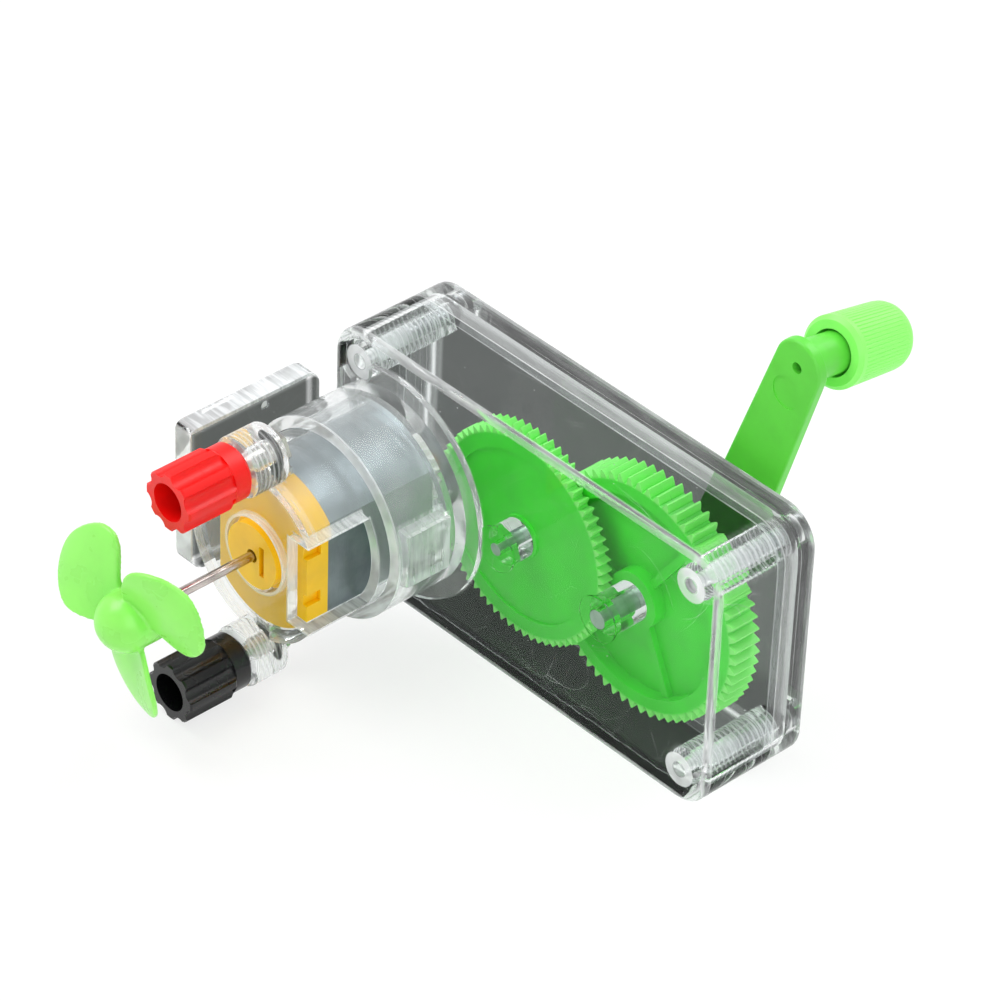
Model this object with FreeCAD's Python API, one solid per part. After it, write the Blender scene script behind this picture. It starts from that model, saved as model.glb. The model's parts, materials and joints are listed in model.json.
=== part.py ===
import FreeCAD
import Part
import math
import os

from FreeCAD import Vector

# Hand crank generator: a clear gearbox with a toy motor in a clear holder, two binding posts, a small
# propeller on the motor shaft and a crank on the far side.
# Frame: millimetres, +Z up, +X along the gearbox towards the crank axis, -Y towards the propeller.
# The origin is the middle of the gearbox's bottom face.  A "depth" is a place along Y measured from the
# gearbox's front face, negative in front of it and positive inside the box.

# ---- gearbox -------------------------------------------------------------------------------------
BOX_LENGTH = 80.0
BOX_HEIGHT = 43.8
BOX_DEPTH = 19.2
CORNER_RADIUS = 5.9
CASE_WALL = 2.2
COVER_DEPTH = 6.2
EDGE_FILLET = 0.7

# ---- fits ----------------------------------------------------------------------------------------
STATIC_GAP = 0.02
RUNNING_GAP = 0.05
END_PLAY = 0.3
LOOSE_GAP = 0.15
BACKLASH = 0.14

# ---- screws --------------------------------------------------------------------------------------
BOSS_INSET = 5.4
BOSS_RADIUS = 2.85
BOSS_WEB = 1.4
PAD_HEIGHT = 0.8
PILOT_RADIUS = 1.15
SCREW_ROOT_RADIUS = 0.8
SCREW_PITCH = 0.9
SCREW_LENGTH = 10.0
SCREW_HEAD_RADIUS = 2.1
SCREW_HEAD_HEIGHT = 1.5
SCREW_SINK = 1.1
SLOT_WIDTH = 0.5
SLOT_DEPTH = 0.7
SLOT_REACH = 1.4
HEAD_TOP_RADIUS = 1.5
HEAD_EDGE_HEIGHT = 0.75
THREAD_FLANK = 0.27

# ---- gear train ----------------------------------------------------------------------------------
PRESSURE_ANGLE = 25.0
FAST_MODULE = 0.5
SLOW_MODULE = 0.6
MOTOR_TEETH = 18
IDLER_TEETH = 68
PINION_TEETH = 9
CRANK_TEETH = 62
ADDENDUM = 0.95
DEDENDUM = 1.2
IDLER_FRONT = 5.3
IDLER_THICKNESS = 1.9
CRANK_GEAR_WIDTH = 4.8
CRANK_WEB = 1.5
CRANK_WEB_RECESS = 2.0
CRANK_RIM = 2.1
CRANK_HUB_RADIUS = 4.6
RIB_WIDTH = 1.3
RIB_ANGLES = (55.0, 175.0, 295.0)
IDLER_DISH_DEPTH = 0.35
IDLER_DISH_RIM = 2.4
IDLER_AXLE_RADIUS = 1.0
IDLER_BOSS_RADIUS = 3.2
CRANK_SHAFT_RADIUS = 1.5
CRANK_BOSS_RADIUS = 3.2
FACE_PAD_RADIUS = 3.7
FACE_PAD_HEIGHT = 0.25
COLLAR_RADIUS = 4.6
COLLAR_HEIGHT = 2.2
BLIND_WALL = 1.2
PINION_FACE = 2.8
PINION_PASS_GAP = 0.4

# ---- motor ---------------------------------------------------------------------------------------
MOTOR_INSET = 14.2
CAN_RADIUS = 12.1
CAN_HALF_FLAT = 9.15
CAN_WALL = 0.8
CAN_LENGTH = 19.3
END_CAP_THICKNESS = 4.0
END_CAP_WALL = 1.5
END_BOSS_RADIUS = 5.3
END_BOSS_HEIGHT = 2.5
END_SLOT_OFFSET = 1.6
END_SLOT_WIDTH = 1.0
END_SLOT_HALF_LENGTH = 2.6
END_SLOT_DEPTH = 1.2
END_NOTCH_OFFSET = 4.2
END_NOTCH_WIDTH = 2.0
END_NOTCH_INSET = 0.8
END_NOTCH_DEPTH = 2.6
CAN_BOSS_RADIUS = 3.0
CAN_BOSS_HEIGHT = 1.4
MOTOR_SHAFT_RADIUS = 0.75
BEARING_RADIUS = 1.9
BUSH_SETBACK = 1.2
CORE_RADIUS = 8.0
CORE_LENGTH = 10.0
CORE_HUB_RADIUS = 2.6
CORE_SETBACK = 1.0
POLE_ANGLES = (90.0, 210.0, 330.0)
POLE_NECK = 2.0
POLE_SHOE = 1.2
POLE_SPAN = 96.0
COIL_WIDTH = 5.2
COIL_INSET = 0.8
COIL_OVERHANG = 1.0
COIL_GAP = 0.15
COMMUTATOR_RADIUS = 2.2
COMMUTATOR_LENGTH = 3.2
COMMUTATOR_SLOT = 0.3
MAGNET_GAP = 0.4
MAGNET_LENGTH = 14.0
MAGNET_SPAN = 84.0
MAGNET_ANGLES = (90.0, 270.0)
BRUSH_THICKNESS = 0.8
BRUSH_WIDTH = 1.8
BRUSH_INSET = 1.2
TAB_THICKNESS = 0.4
TAB_WIDTH = 2.4
TAB_REACH = 13.1
TAB_SETBACK = 0.7

# ---- motor holder --------------------------------------------------------------------------------
SLEEVE_RADIUS = 16.0
SLEEVE_BORE = 14.1
SLEEVE_LENGTH = 14.0
SEAT_THICKNESS = 2.0
FLANGE_RADIUS = 18.6
FLANGE_THICKNESS = 1.0
FLANGE_INSET = 2.2
HOLDER_RADIUS = 14.0
HOLDER_BORE = 12.3
HOLDER_FACE = 27.5
HOLDER_FACE_THICKNESS = 1.8
HOLDER_FACE_GAP = 0.7
HOLDER_TAIL = 3.0
WINDOW_HALF_HEIGHT = 7.6
WINDOW_START = 7.4
WINDOW_DEPTH = 11.5
LATCH_HALF_HEIGHT = 4.5
LATCH_NEAR = 4.0
LATCH_FAR = 12.0
FOOT_THICKNESS = 3.4
FOOT_BACK = 3.0
FOOT_LOW = 10.0
FOOT_HIGH = 35.7
FOOT_CORNER = 3.0
FOOT_TOP_CORNER = 2.6
FOOT_FRONT_CORNER = 1.3
FOOT_MARK_RADIUS = 0.75
FOOT_MARK_SINK = 0.25
FOOT_MARK_DEPTH = 13.4
FOOT_MARK_BELOW_TOP = 1.8

# ---- binding posts -------------------------------------------------------------------------------
POST_BOSS_RADIUS = 4.8
POST_BOSS_BACK = 24.8
POST_BOSS_FRONT = 30.9
POST_BOSS_EDGE = 0.5
POST_WEB = 6.4
STUD_RADIUS = 1.5
STUD_TAIL = 0.6
NUT_ACROSS_FLATS = 5.0
NUT_HEIGHT = 1.4
STRIP_WIDTH = 3.0
STRIP_THICKNESS = 0.4
EYE_RADIUS = 2.6
POST_CAP_LENGTH = 12.2
POST_CAP_RADIUS = 4.85
POST_CAP_GAP = 0.3
POST_CAP_COLLAR = 3.2
POST_CAP_COLLAR_RADIUS = 4.4
POST_CAP_EDGE = 0.6
POST_CAP_FRONT_EDGE = 0.25
POST_CAP_FLUTES = 8
POST_FLUTE_RADIUS = 1.5
POST_FLUTE_DEPTH = 0.9
SOCKET_RADIUS = 3.0
SOCKET_DEPTH = 9.0

# ---- propeller -----------------------------------------------------------------------------------
PROPELLER_DEPTH = 49.8
PROPELLER_HUB_RADIUS = 4.5
PROPELLER_HUB_LENGTH = 5.0
PROPELLER_NOSE = 3.4
BLADE_ANGLES = (160.0, 40.0, 280.0)
BLADE_THICKNESS = 0.9
BLADE_SLOPE = 0.28
BLADE_CUP = 2.37
BLADE_RAKE = 2.68
BLADE_SWEEP = 1.4
BLADE_REACH = 5.0
BLADE_STEPS = 10
# Blade outline as (distance from the shaft, distance across), leading edge first, tip in the middle.
BLADE_OUTLINE = ((2.6, -1.7), (4.4, -3.1), (6.1, -5.9), (8.3, -8.0), (10.9, -7.8), (13.4, -5.7), (15.2, -2.6),
                 (15.8, 0.5), (14.8, 3.4), (12.6, 5.6), (9.7, 6.6), (6.7, 5.7), (4.0, 4.2), (2.6, 2.5))

# ---- crank ---------------------------------------------------------------------------------------
CRANK_ANGLE = 72.0
CRANK_LENGTH = 43.2
ARM_THICKNESS = 1.8
ARM_GAP = 0.4
ARM_STEP = 1.2
ARM_HUB_RADIUS = 5.4
ARM_END_RADIUS = 4.3
ARM_END_SHORT_OF_PIN = 0.9
ARM_EDGE = 0.4
ARM_HUB_HEIGHT = 4.0
ARM_DIMPLE_RADIUS = 2.6
ARM_DIMPLE_DEPTH = 0.15
ARM_DIMPLE_FROM_END = 5.3
CORE_HOLE_RADIUS = 0.9
CORE_HOLE_DEPTH = 5.0
FLAT_DEPTH = 0.5
PIN_LEAN = 14.0
NECK_RADIUS = 3.1
NECK_START = 1.3
KNOB_START = 7.3
KNOB_LENGTH = 14.2
KNOB_RADIUS = 5.4
KNOB_END_RADIUS = 5.1
KNOB_ROUNDING = 3.0
KNOB_ROUNDING_STEPS = 6
KNOB_RIM_ROUNDING = 0.6
KNOB_RIBS = 56
KNOB_RIB_DEPTH = 0.12
KNOB_SMOOTH_BAND = 1.4
KNOB_MOUTH_RADIUS = 3.5
KNOB_MOUTH_DEPTH = 2.3
KNOB_PIN_RADIUS = 2.3
KNOB_PIN_LENGTH = 8.0
SNAP_DEPTH = 0.4
SNAP_WIDTH = 1.2
HUB_SCREW_RADIUS = 0.8
HUB_SCREW_LENGTH = 5.0
WASHER_RADIUS = 2.9
WASHER_THICKNESS = 0.5

# ---- places worked out from the driving sizes --------------------------------------------------------
FRONT_Y = -BOX_DEPTH / 2.0
LEFT_X = -BOX_LENGTH / 2.0
AXIS_Z = BOX_HEIGHT / 2.0
MOTOR_X = LEFT_X + MOTOR_INSET
IDLER_X = MOTOR_X + FAST_MODULE * (MOTOR_TEETH + IDLER_TEETH) / 2.0
CRANK_X = IDLER_X + SLOW_MODULE * (PINION_TEETH + CRANK_TEETH) / 2.0
SPLIT = BOX_DEPTH - COVER_DEPTH
COVER_INNER = BOX_DEPTH - CASE_WALL
POST_OFFSET = AXIS_Z - POST_BOSS_RADIUS
BOSS_END = COVER_INNER - PAD_HEIGHT
IDLER_BACK = IDLER_FRONT + IDLER_THICKNESS
CRANK_GEAR_FRONT = IDLER_BACK + END_PLAY
CRANK_GEAR_BACK = CRANK_GEAR_FRONT + CRANK_GEAR_WIDTH
PINION_BACK = CRANK_GEAR_BACK + END_PLAY
COVER_BOSS_START = PINION_BACK + END_PLAY
MOTOR_BACK = -(SEAT_THICKNESS + LOOSE_GAP)
CAN_FRONT = MOTOR_BACK - CAN_LENGTH
END_CAP_FRONT = CAN_FRONT - END_CAP_THICKNESS
END_BOSS_FRONT = END_CAP_FRONT - END_BOSS_HEIGHT
COLLAR_END = BOX_DEPTH + COLLAR_HEIGHT
HUB_FRONT = COLLAR_END + ARM_GAP
ARM_FRONT = HUB_FRONT + ARM_STEP
HUB_BACK = HUB_FRONT + ARM_HUB_HEIGHT
CORE_MIDDLE = MOTOR_BACK - CAN_WALL - MAGNET_LENGTH / 2.0 - CORE_SETBACK
PINION_PASS = FAST_MODULE * (MOTOR_TEETH / 2.0 + ADDENDUM) + PINION_PASS_GAP
TAB_DEPTH = CAN_FRONT - TAB_THICKNESS - TAB_SETBACK
BUSH_END = CAN_FRONT - BUSH_SETBACK
BRUSH_REACH = CAN_RADIUS - END_CAP_WALL - BRUSH_INSET
SMALL = 0.5


def at(x, depth, z):
    """A point given by x, depth behind the front face, and z."""
    return Vector(x, FRONT_Y + depth, z)


def rod(x, z, radius, start, end):
    """A cylinder along Y between two depths."""
    return Part.makeCylinder(radius, end - start, at(x, start, z), Vector(0, 1, 0))


def tube(x, z, outer, inner, start, end):
    """A round tube along Y between two depths."""
    return rod(x, z, outer, start, end).cut(rod(x, z, inner, start - SMALL, end + SMALL))


def block(x0, x1, start, end, z0, z1):
    """A box between two corners, with depths along Y."""
    return Part.makeBox(x1 - x0, end - start, z1 - z0, at(x0, start, z0))


def join(shapes):
    """One solid from several touching ones."""
    first, *rest = shapes
    return first.fuse(rest).removeSplitter()


def arc_edge(centre_x, centre_z, radius, start_angle, end_angle, depth):
    """An arc in the XZ plane, as an edge."""
    angles = (start_angle, (start_angle + end_angle) / 2.0, end_angle)
    points = [at(centre_x + radius * math.cos(math.radians(a)), depth,
                 centre_z + radius * math.sin(math.radians(a))) for a in angles]
    return Part.Arc(*points).toShape()


def rounded_slab(inset, start, end):
    """The gearbox's rounded outline, moved in by an inset, between two depths."""
    radius = max(CORNER_RADIUS - inset, EDGE_FILLET)
    x0, x1 = LEFT_X + inset, -LEFT_X - inset
    z0, z1 = inset, BOX_HEIGHT - inset
    corners = [(x1 - radius, z1 - radius, 0), (x0 + radius, z1 - radius, 90),
               (x0 + radius, z0 + radius, 180), (x1 - radius, z0 + radius, 270)]
    arcs = [arc_edge(cx, cz, radius, a, a + 90, start) for cx, cz, a in corners]
    edges = []
    for this, following in zip(arcs, arcs[1:] + arcs[:1]):
        edges.append(this)
        edges.append(Part.makeLine(this.Vertexes[-1].Point, following.Vertexes[0].Point))
    return Part.Face(Part.Wire(edges)).extrude(Vector(0, end - start, 0))


def fillet_at_depth(shape, depth, radius):
    """Round the outer edges that lie flat at one depth on the gearbox's outline."""
    outline = [e for e in shape.Edges
               if all(abs(v.Point.y - FRONT_Y - depth) < 1e-4 for v in e.Vertexes)
               and (abs(e.BoundBox.XMin - LEFT_X) < CORNER_RADIUS + SMALL
                    or abs(e.BoundBox.XMax + LEFT_X) < CORNER_RADIUS + SMALL)
               and on_outline(e.CenterOfMass)]
    return shape.makeFillet(radius, outline)


def on_outline(point):
    """Whether a point lies on the gearbox's outer outline."""
    inner_x, inner_z = -LEFT_X - CORNER_RADIUS, BOX_HEIGHT / 2.0 - CORNER_RADIUS
    dx = max(abs(point.x) - inner_x, 0.0)
    dz = max(abs(point.z - AXIS_Z) - inner_z, 0.0)
    return math.hypot(dx, dz) > CORNER_RADIUS - SMALL - EDGE_FILLET


def boss_places():
    """The four screw places, as (x, z)."""
    return [(side * (-LEFT_X - BOSS_INSET), AXIS_Z + level * (AXIS_Z - BOSS_INSET))
            for side in (-1, 1) for level in (-1, 1)]


def hexagon(x, z, across_flats, start, end):
    """A hexagonal prism along Y with flats facing up and down."""
    radius = across_flats / math.sqrt(3.0)
    points = [at(x + radius * math.cos(math.radians(a)), start, z + radius * math.sin(math.radians(a)))
              for a in range(0, 361, 60)]
    return Part.Face(Part.makePolygon(points)).extrude(Vector(0, end - start, 0))


def revolved(profile, x, z):
    """A solid turned about the Y line through (x, z) from (radius, depth) corners."""
    points = [at(x + radius, depth, z) for radius, depth in profile]
    points.append(points[0])
    return Part.Face(Part.makePolygon(points)).revolve(at(x, 0, z), Vector(0, 1, 0), 360)


# ---- gears ---------------------------------------------------------------------------------------
def gear_outline(module, teeth, x, z, first_tooth, depth):
    """A closed wire of straight-rooted involute teeth, one tooth centred on first_tooth degrees."""
    pitch = module * teeth / 2.0
    base = pitch * math.cos(math.radians(PRESSURE_ANGLE))
    tip = pitch + ADDENDUM * module
    root = pitch - DEDENDUM * module
    thickness = math.pi * module / 2.0 - BACKLASH
    involute_at_pitch = math.tan(math.radians(PRESSURE_ANGLE)) - math.radians(PRESSURE_ANGLE)

    def half_angle(radius):
        """Half a tooth's angle at a radius; the flank is radial inside the base circle."""
        spread = math.acos(min(base / max(radius, base), 1.0))
        return thickness / (2.0 * pitch) + involute_at_pitch - (math.tan(spread) - spread)

    def point(radius, angle):
        """A point of the outline from polar values."""
        return at(x + radius * math.cos(angle), depth, z + radius * math.sin(angle))

    foot = max(root, base)
    middle = (foot + tip) / 2.0
    step = 2.0 * math.pi / teeth
    edges = []
    for index in range(teeth):
        centre = math.radians(first_tooth) + index * step
        rising = [point(r, centre - half_angle(r)) for r in (foot, middle, tip)]
        falling = [point(r, centre + half_angle(r)) for r in (tip, middle, foot)]
        low_start = point(root, centre - half_angle(foot))
        low_end = point(root, centre + half_angle(foot))
        next_start = point(root, centre + step - half_angle(foot))
        if foot > root:
            edges.append(Part.makeLine(low_start, rising[0]))
        edges.append(Part.Arc(*rising).toShape())
        edges.append(Part.makeLine(rising[2], falling[0]))
        edges.append(Part.Arc(*falling).toShape())
        if foot > root:
            edges.append(Part.makeLine(falling[2], low_end))
        edges.append(Part.makeLine(low_end, next_start))
    return Part.Wire(edges)


def toothed_disc(module, teeth, x, first_tooth, start, end):
    """A solid spur gear between two depths on the gear line."""
    wire = gear_outline(module, teeth, x, AXIS_Z, first_tooth, start)
    return Part.Face(wire).extrude(Vector(0, end - start, 0))


def crank_gear():
    """The large driven gear: rim, thin web, three ribs and a hub pressed on the crank shaft."""
    body = toothed_disc(SLOW_MODULE, CRANK_TEETH, CRANK_X, 180.0, CRANK_GEAR_FRONT, CRANK_GEAR_BACK)
    dish = SLOW_MODULE * CRANK_TEETH / 2.0 - DEDENDUM * SLOW_MODULE - CRANK_RIM
    web_front = CRANK_GEAR_FRONT + CRANK_WEB_RECESS
    web_back = web_front + CRANK_WEB
    body = body.cut(rod(CRANK_X, AXIS_Z, dish, CRANK_GEAR_FRONT - SMALL, web_front))
    body = body.cut(rod(CRANK_X, AXIS_Z, dish, web_back, CRANK_GEAR_BACK + SMALL))
    pieces = [body, rod(CRANK_X, AXIS_Z, CRANK_HUB_RADIUS, CRANK_GEAR_FRONT, PINION_BACK)]
    for angle in RIB_ANGLES:
        rib = block(CRANK_X, CRANK_X + dish + SMALL, CRANK_GEAR_FRONT + CRANK_WEB_RECESS / 2.0,
                    web_front + CRANK_WEB / 2.0, AXIS_Z - RIB_WIDTH / 2.0, AXIS_Z + RIB_WIDTH / 2.0)
        rib.rotate(at(CRANK_X, 0, AXIS_Z), Vector(0, -1, 0), angle)
        pieces.append(rib)
    gear = join(pieces)
    return gear.cut(rod(CRANK_X, AXIS_Z, CRANK_SHAFT_RADIUS + STATIC_GAP, 0, BOX_DEPTH))


def idler_gear():
    """The idler: a thin wide gear with its small pinion moulded behind it."""
    disc = toothed_disc(FAST_MODULE, IDLER_TEETH, IDLER_X, 180.0, IDLER_FRONT, IDLER_BACK)
    dish_outer = FAST_MODULE * IDLER_TEETH / 2.0 - DEDENDUM * FAST_MODULE - IDLER_DISH_RIM
    dish = tube(IDLER_X, AXIS_Z, dish_outer, IDLER_BOSS_RADIUS + END_PLAY,
                IDLER_FRONT - SMALL, IDLER_FRONT + IDLER_DISH_DEPTH)
    gap_at_zero = 180.0 / PINION_TEETH
    pinion = toothed_disc(SLOW_MODULE, PINION_TEETH, IDLER_X, gap_at_zero, IDLER_BACK - SMALL, PINION_BACK)
    gear = join([disc.cut(dish), pinion])
    return gear.cut(rod(IDLER_X, AXIS_Z, IDLER_AXLE_RADIUS + RUNNING_GAP, 0, BOX_DEPTH))


def motor_pinion():
    """The small gear pressed on the motor shaft inside the gearbox."""
    middle = (IDLER_FRONT + IDLER_BACK) / 2.0
    gear = toothed_disc(FAST_MODULE, MOTOR_TEETH, MOTOR_X, 180.0 / MOTOR_TEETH,
                        middle - PINION_FACE / 2.0, middle + PINION_FACE / 2.0)
    return gear.cut(rod(MOTOR_X, AXIS_Z, MOTOR_SHAFT_RADIUS + STATIC_GAP, 0, BOX_DEPTH))


def idler_axle():
    """The fixed steel axle of the idler, held in a boss of each shell."""
    return rod(IDLER_X, AXIS_Z, IDLER_AXLE_RADIUS, -FACE_PAD_HEIGHT, BOX_DEPTH - BLIND_WALL - STATIC_GAP)


def crank_shaft():
    """The steel shaft of the crank, with a flat for the arm and a bore for its screw."""
    end = HUB_BACK - LOOSE_GAP
    shaft = rod(CRANK_X, AXIS_Z, CRANK_SHAFT_RADIUS, -FACE_PAD_HEIGHT, end)
    flat = arm_frame(block(CRANK_X - CRANK_SHAFT_RADIUS * 2.0, CRANK_X + CRANK_SHAFT_RADIUS * 2.0,
                           HUB_FRONT, end + SMALL,
                           AXIS_Z + CRANK_SHAFT_RADIUS - FLAT_DEPTH, AXIS_Z + CRANK_SHAFT_RADIUS * 2.0))
    bore = rod(CRANK_X, AXIS_Z, HUB_SCREW_RADIUS + STATIC_GAP, end - HUB_SCREW_LENGTH, end + SMALL)
    return shaft.cut(flat).cut(bore)


# ---- case ----------------------------------------------------------------------------------------
def front_case():
    """The clear front shell with its screw bosses, bearing bosses, motor sleeve and foot plate."""
    shell = fillet_at_depth(rounded_slab(0.0, 0.0, SPLIT), 0.0, EDGE_FILLET)
    shell = shell.cut(rounded_slab(CASE_WALL, CASE_WALL, SPLIT + SMALL))
    pieces = [shell]
    for x, z in boss_places():
        pieces.append(rod(x, z, BOSS_RADIUS, SMALL, BOSS_END))
        side, level = math.copysign(1.0, x), math.copysign(1.0, z - AXIS_Z)
        wall_x, wall_z = x + side * (BOSS_INSET - CASE_WALL / 2.0), z + level * (BOSS_INSET - CASE_WALL / 2.0)
        pieces.append(block(min(x, wall_x), max(x, wall_x), CASE_WALL - SMALL, SPLIT,
                            z - BOSS_WEB / 2.0, z + BOSS_WEB / 2.0))
        pieces.append(block(x - BOSS_WEB / 2.0, x + BOSS_WEB / 2.0, CASE_WALL - SMALL, SPLIT,
                            min(z, wall_z), max(z, wall_z)))
    pieces.append(rod(IDLER_X, AXIS_Z, IDLER_BOSS_RADIUS, SMALL, IDLER_FRONT - END_PLAY))
    pieces.append(rod(CRANK_X, AXIS_Z, CRANK_BOSS_RADIUS, SMALL, CRANK_GEAR_FRONT - END_PLAY))
    for x in (IDLER_X, CRANK_X):
        pieces.append(rod(x, AXIS_Z, FACE_PAD_RADIUS, -FACE_PAD_HEIGHT, SMALL))
    pieces.append(motor_sleeve())
    case = join(pieces)
    for x, z in boss_places():
        case = case.cut(rod(x, z, PILOT_RADIUS, -SMALL, BOX_DEPTH))
    case = case.cut(rod(IDLER_X, AXIS_Z, IDLER_AXLE_RADIUS + STATIC_GAP, -SMALL, BOX_DEPTH))
    case = case.cut(rod(CRANK_X, AXIS_Z, CRANK_SHAFT_RADIUS + RUNNING_GAP, -SMALL, BOX_DEPTH))
    case = case.cut(rod(MOTOR_X, AXIS_Z, PINION_PASS, -SEAT_THICKNESS - SMALL, CASE_WALL + SMALL))
    return case


def motor_sleeve():
    """The round sleeve in front of the box, with its flange, motor seat, latch window and foot plate."""
    flange = rod(MOTOR_X, AXIS_Z, FLANGE_RADIUS, -FLANGE_THICKNESS, SMALL)
    flange = flange.common(rounded_slab(FLANGE_INSET, -FLANGE_THICKNESS, SMALL))
    for x, z in boss_places():
        flange = flange.cut(rod(x, z, BOSS_RADIUS + END_PLAY, -SLEEVE_LENGTH, SMALL))
    wall = rod(MOTOR_X, AXIS_Z, SLEEVE_RADIUS, -SLEEVE_LENGTH, SMALL)
    sleeve = join([flange, wall, foot_plate()])
    sleeve = sleeve.cut(rod(MOTOR_X, AXIS_Z, SLEEVE_BORE, -HOLDER_FACE - SMALL, -SEAT_THICKNESS))
    window = block(MOTOR_X + HOLDER_BORE, MOTOR_X + SLEEVE_RADIUS + SMALL, -LATCH_FAR - LOOSE_GAP,
                   -LATCH_NEAR + LOOSE_GAP, AXIS_Z - LATCH_HALF_HEIGHT - LOOSE_GAP,
                   AXIS_Z + LATCH_HALF_HEIGHT + LOOSE_GAP)
    return sleeve.cut(window)


def foot_plate():
    """The flat side plate along the motor, on which the generator can stand on end."""
    plate = block(LEFT_X - FOOT_THICKNESS, LEFT_X, -HOLDER_FACE, -FOOT_BACK, FOOT_LOW, FOOT_HIGH)
    corners = [e for e in plate.Edges if e.BoundBox.XLength > FOOT_THICKNESS - SMALL]
    front_low = [e for e in corners if e.CenterOfMass.z < AXIS_Z and e.CenterOfMass.y < FRONT_Y - AXIS_Z]
    plate = plate.makeFillet(FOOT_CORNER, front_low)
    for radius, side in ((FOOT_TOP_CORNER, 1), (FOOT_FRONT_CORNER, -1)):
        middle = FRONT_Y - (HOLDER_FACE + FOOT_BACK) / 2.0
        upper = [e for e in plate.Edges if e.BoundBox.XLength > FOOT_THICKNESS - SMALL
                 and e.CenterOfMass.z > FOOT_HIGH - SMALL and side * (e.CenterOfMass.y - middle) > 0]
        plate = plate.makeFillet(radius, upper)
    place = at(LEFT_X - FOOT_MARK_SINK, -FOOT_MARK_DEPTH, FOOT_HIGH - FOOT_MARK_BELOW_TOP)
    mark = Part.makeCylinder(FOOT_MARK_RADIUS, FOOT_THICKNESS, place, Vector(1, 0, 0))
    return plate.cut(mark)


def back_cover():
    """The clear back shell with its pads, bearing bosses and collar."""
    shell = fillet_at_depth(rounded_slab(0.0, SPLIT, BOX_DEPTH), BOX_DEPTH, EDGE_FILLET)
    shell = shell.cut(rounded_slab(CASE_WALL, SPLIT - SMALL, COVER_INNER))
    pieces = [shell]
    for x, z in boss_places():
        pieces.append(rod(x, z, BOSS_RADIUS, BOSS_END, COVER_INNER + SMALL))
    pieces.append(rod(IDLER_X, AXIS_Z, IDLER_BOSS_RADIUS, COVER_BOSS_START, COVER_INNER + SMALL))
    pieces.append(rod(CRANK_X, AXIS_Z, COLLAR_RADIUS, COVER_BOSS_START, COLLAR_END))
    cover = join(pieces)
    for x, z in boss_places():
        cover = cover.cut(rod(x, z, PILOT_RADIUS + LOOSE_GAP, SPLIT, BOX_DEPTH + SMALL))
        cover = cover.cut(rod(x, z, SCREW_HEAD_RADIUS + LOOSE_GAP, BOX_DEPTH - SCREW_SINK, BOX_DEPTH + SMALL))
    cover = cover.cut(rod(IDLER_X, AXIS_Z, IDLER_AXLE_RADIUS + STATIC_GAP, 0, BOX_DEPTH - BLIND_WALL))
    return cover.cut(rod(CRANK_X, AXIS_Z, CRANK_SHAFT_RADIUS + RUNNING_GAP, 0, COLLAR_END + SMALL))


def case_screws():
    """Four self-tapping screws from the back, with ring threads and slotted heads."""
    return Part.makeCompound([case_screw(x, z) for x, z in boss_places()])


def case_screw(x, z):
    """One self-tapping screw with its head sunk in the cover."""
    seat = BOX_DEPTH - SCREW_SINK
    tip = seat - SCREW_LENGTH
    crest = PILOT_RADIUS - STATIC_GAP
    profile = [(0.0, seat + SCREW_HEAD_HEIGHT), (HEAD_TOP_RADIUS, seat + SCREW_HEAD_HEIGHT),
               (SCREW_HEAD_RADIUS, seat + HEAD_EDGE_HEIGHT), (SCREW_HEAD_RADIUS, seat), (crest, seat)]
    turns = int((SCREW_LENGTH - SCREW_PITCH) / SCREW_PITCH)
    for turn in range(turns):
        top = seat - turn * SCREW_PITCH
        profile.append((SCREW_ROOT_RADIUS, top - THREAD_FLANK))
        profile.append((SCREW_ROOT_RADIUS, top - SCREW_PITCH + THREAD_FLANK))
        profile.append((crest, top - SCREW_PITCH))
    profile.append((0.0, tip))
    slot_end = seat + SCREW_HEAD_HEIGHT
    slot = block(x - SCREW_HEAD_RADIUS, x + SCREW_HEAD_RADIUS, slot_end - SLOT_DEPTH, slot_end + SMALL,
                 z - SLOT_WIDTH / 2.0, z + SLOT_WIDTH / 2.0)
    cross = block(x - SLOT_WIDTH / 2.0, x + SLOT_WIDTH / 2.0, slot_end - SLOT_DEPTH, slot_end + SMALL,
                  z - SLOT_REACH, z + SLOT_REACH)
    return revolved(profile, x, z).cut(slot).cut(cross)


# ---- motor ---------------------------------------------------------------------------------------
def can_section(radius, half_flat, start, end):
    """The motor's outline, a circle with two flat sides, between two depths."""
    flats = block(MOTOR_X - half_flat, MOTOR_X + half_flat, start, end, AXIS_Z - radius, AXIS_Z + radius)
    return rod(MOTOR_X, AXIS_Z, radius, start, end).common(flats)


def motor_can():
    """The steel can with its closed end and bearing boss towards the gearbox."""
    outer = can_section(CAN_RADIUS, CAN_HALF_FLAT, CAN_FRONT, MOTOR_BACK)
    inner = can_section(CAN_RADIUS - CAN_WALL, CAN_HALF_FLAT - CAN_WALL, CAN_FRONT - SMALL,
                        MOTOR_BACK - CAN_WALL)
    boss = rod(MOTOR_X, AXIS_Z, CAN_BOSS_RADIUS, MOTOR_BACK - CAN_WALL, MOTOR_BACK + CAN_BOSS_HEIGHT)
    can = join([outer.cut(inner), boss])
    return can.cut(rod(MOTOR_X, AXIS_Z, BEARING_RADIUS + STATIC_GAP, MOTOR_BACK - 2.0 * CAN_WALL,
                       MOTOR_BACK + CAN_BOSS_HEIGHT + SMALL))


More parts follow.
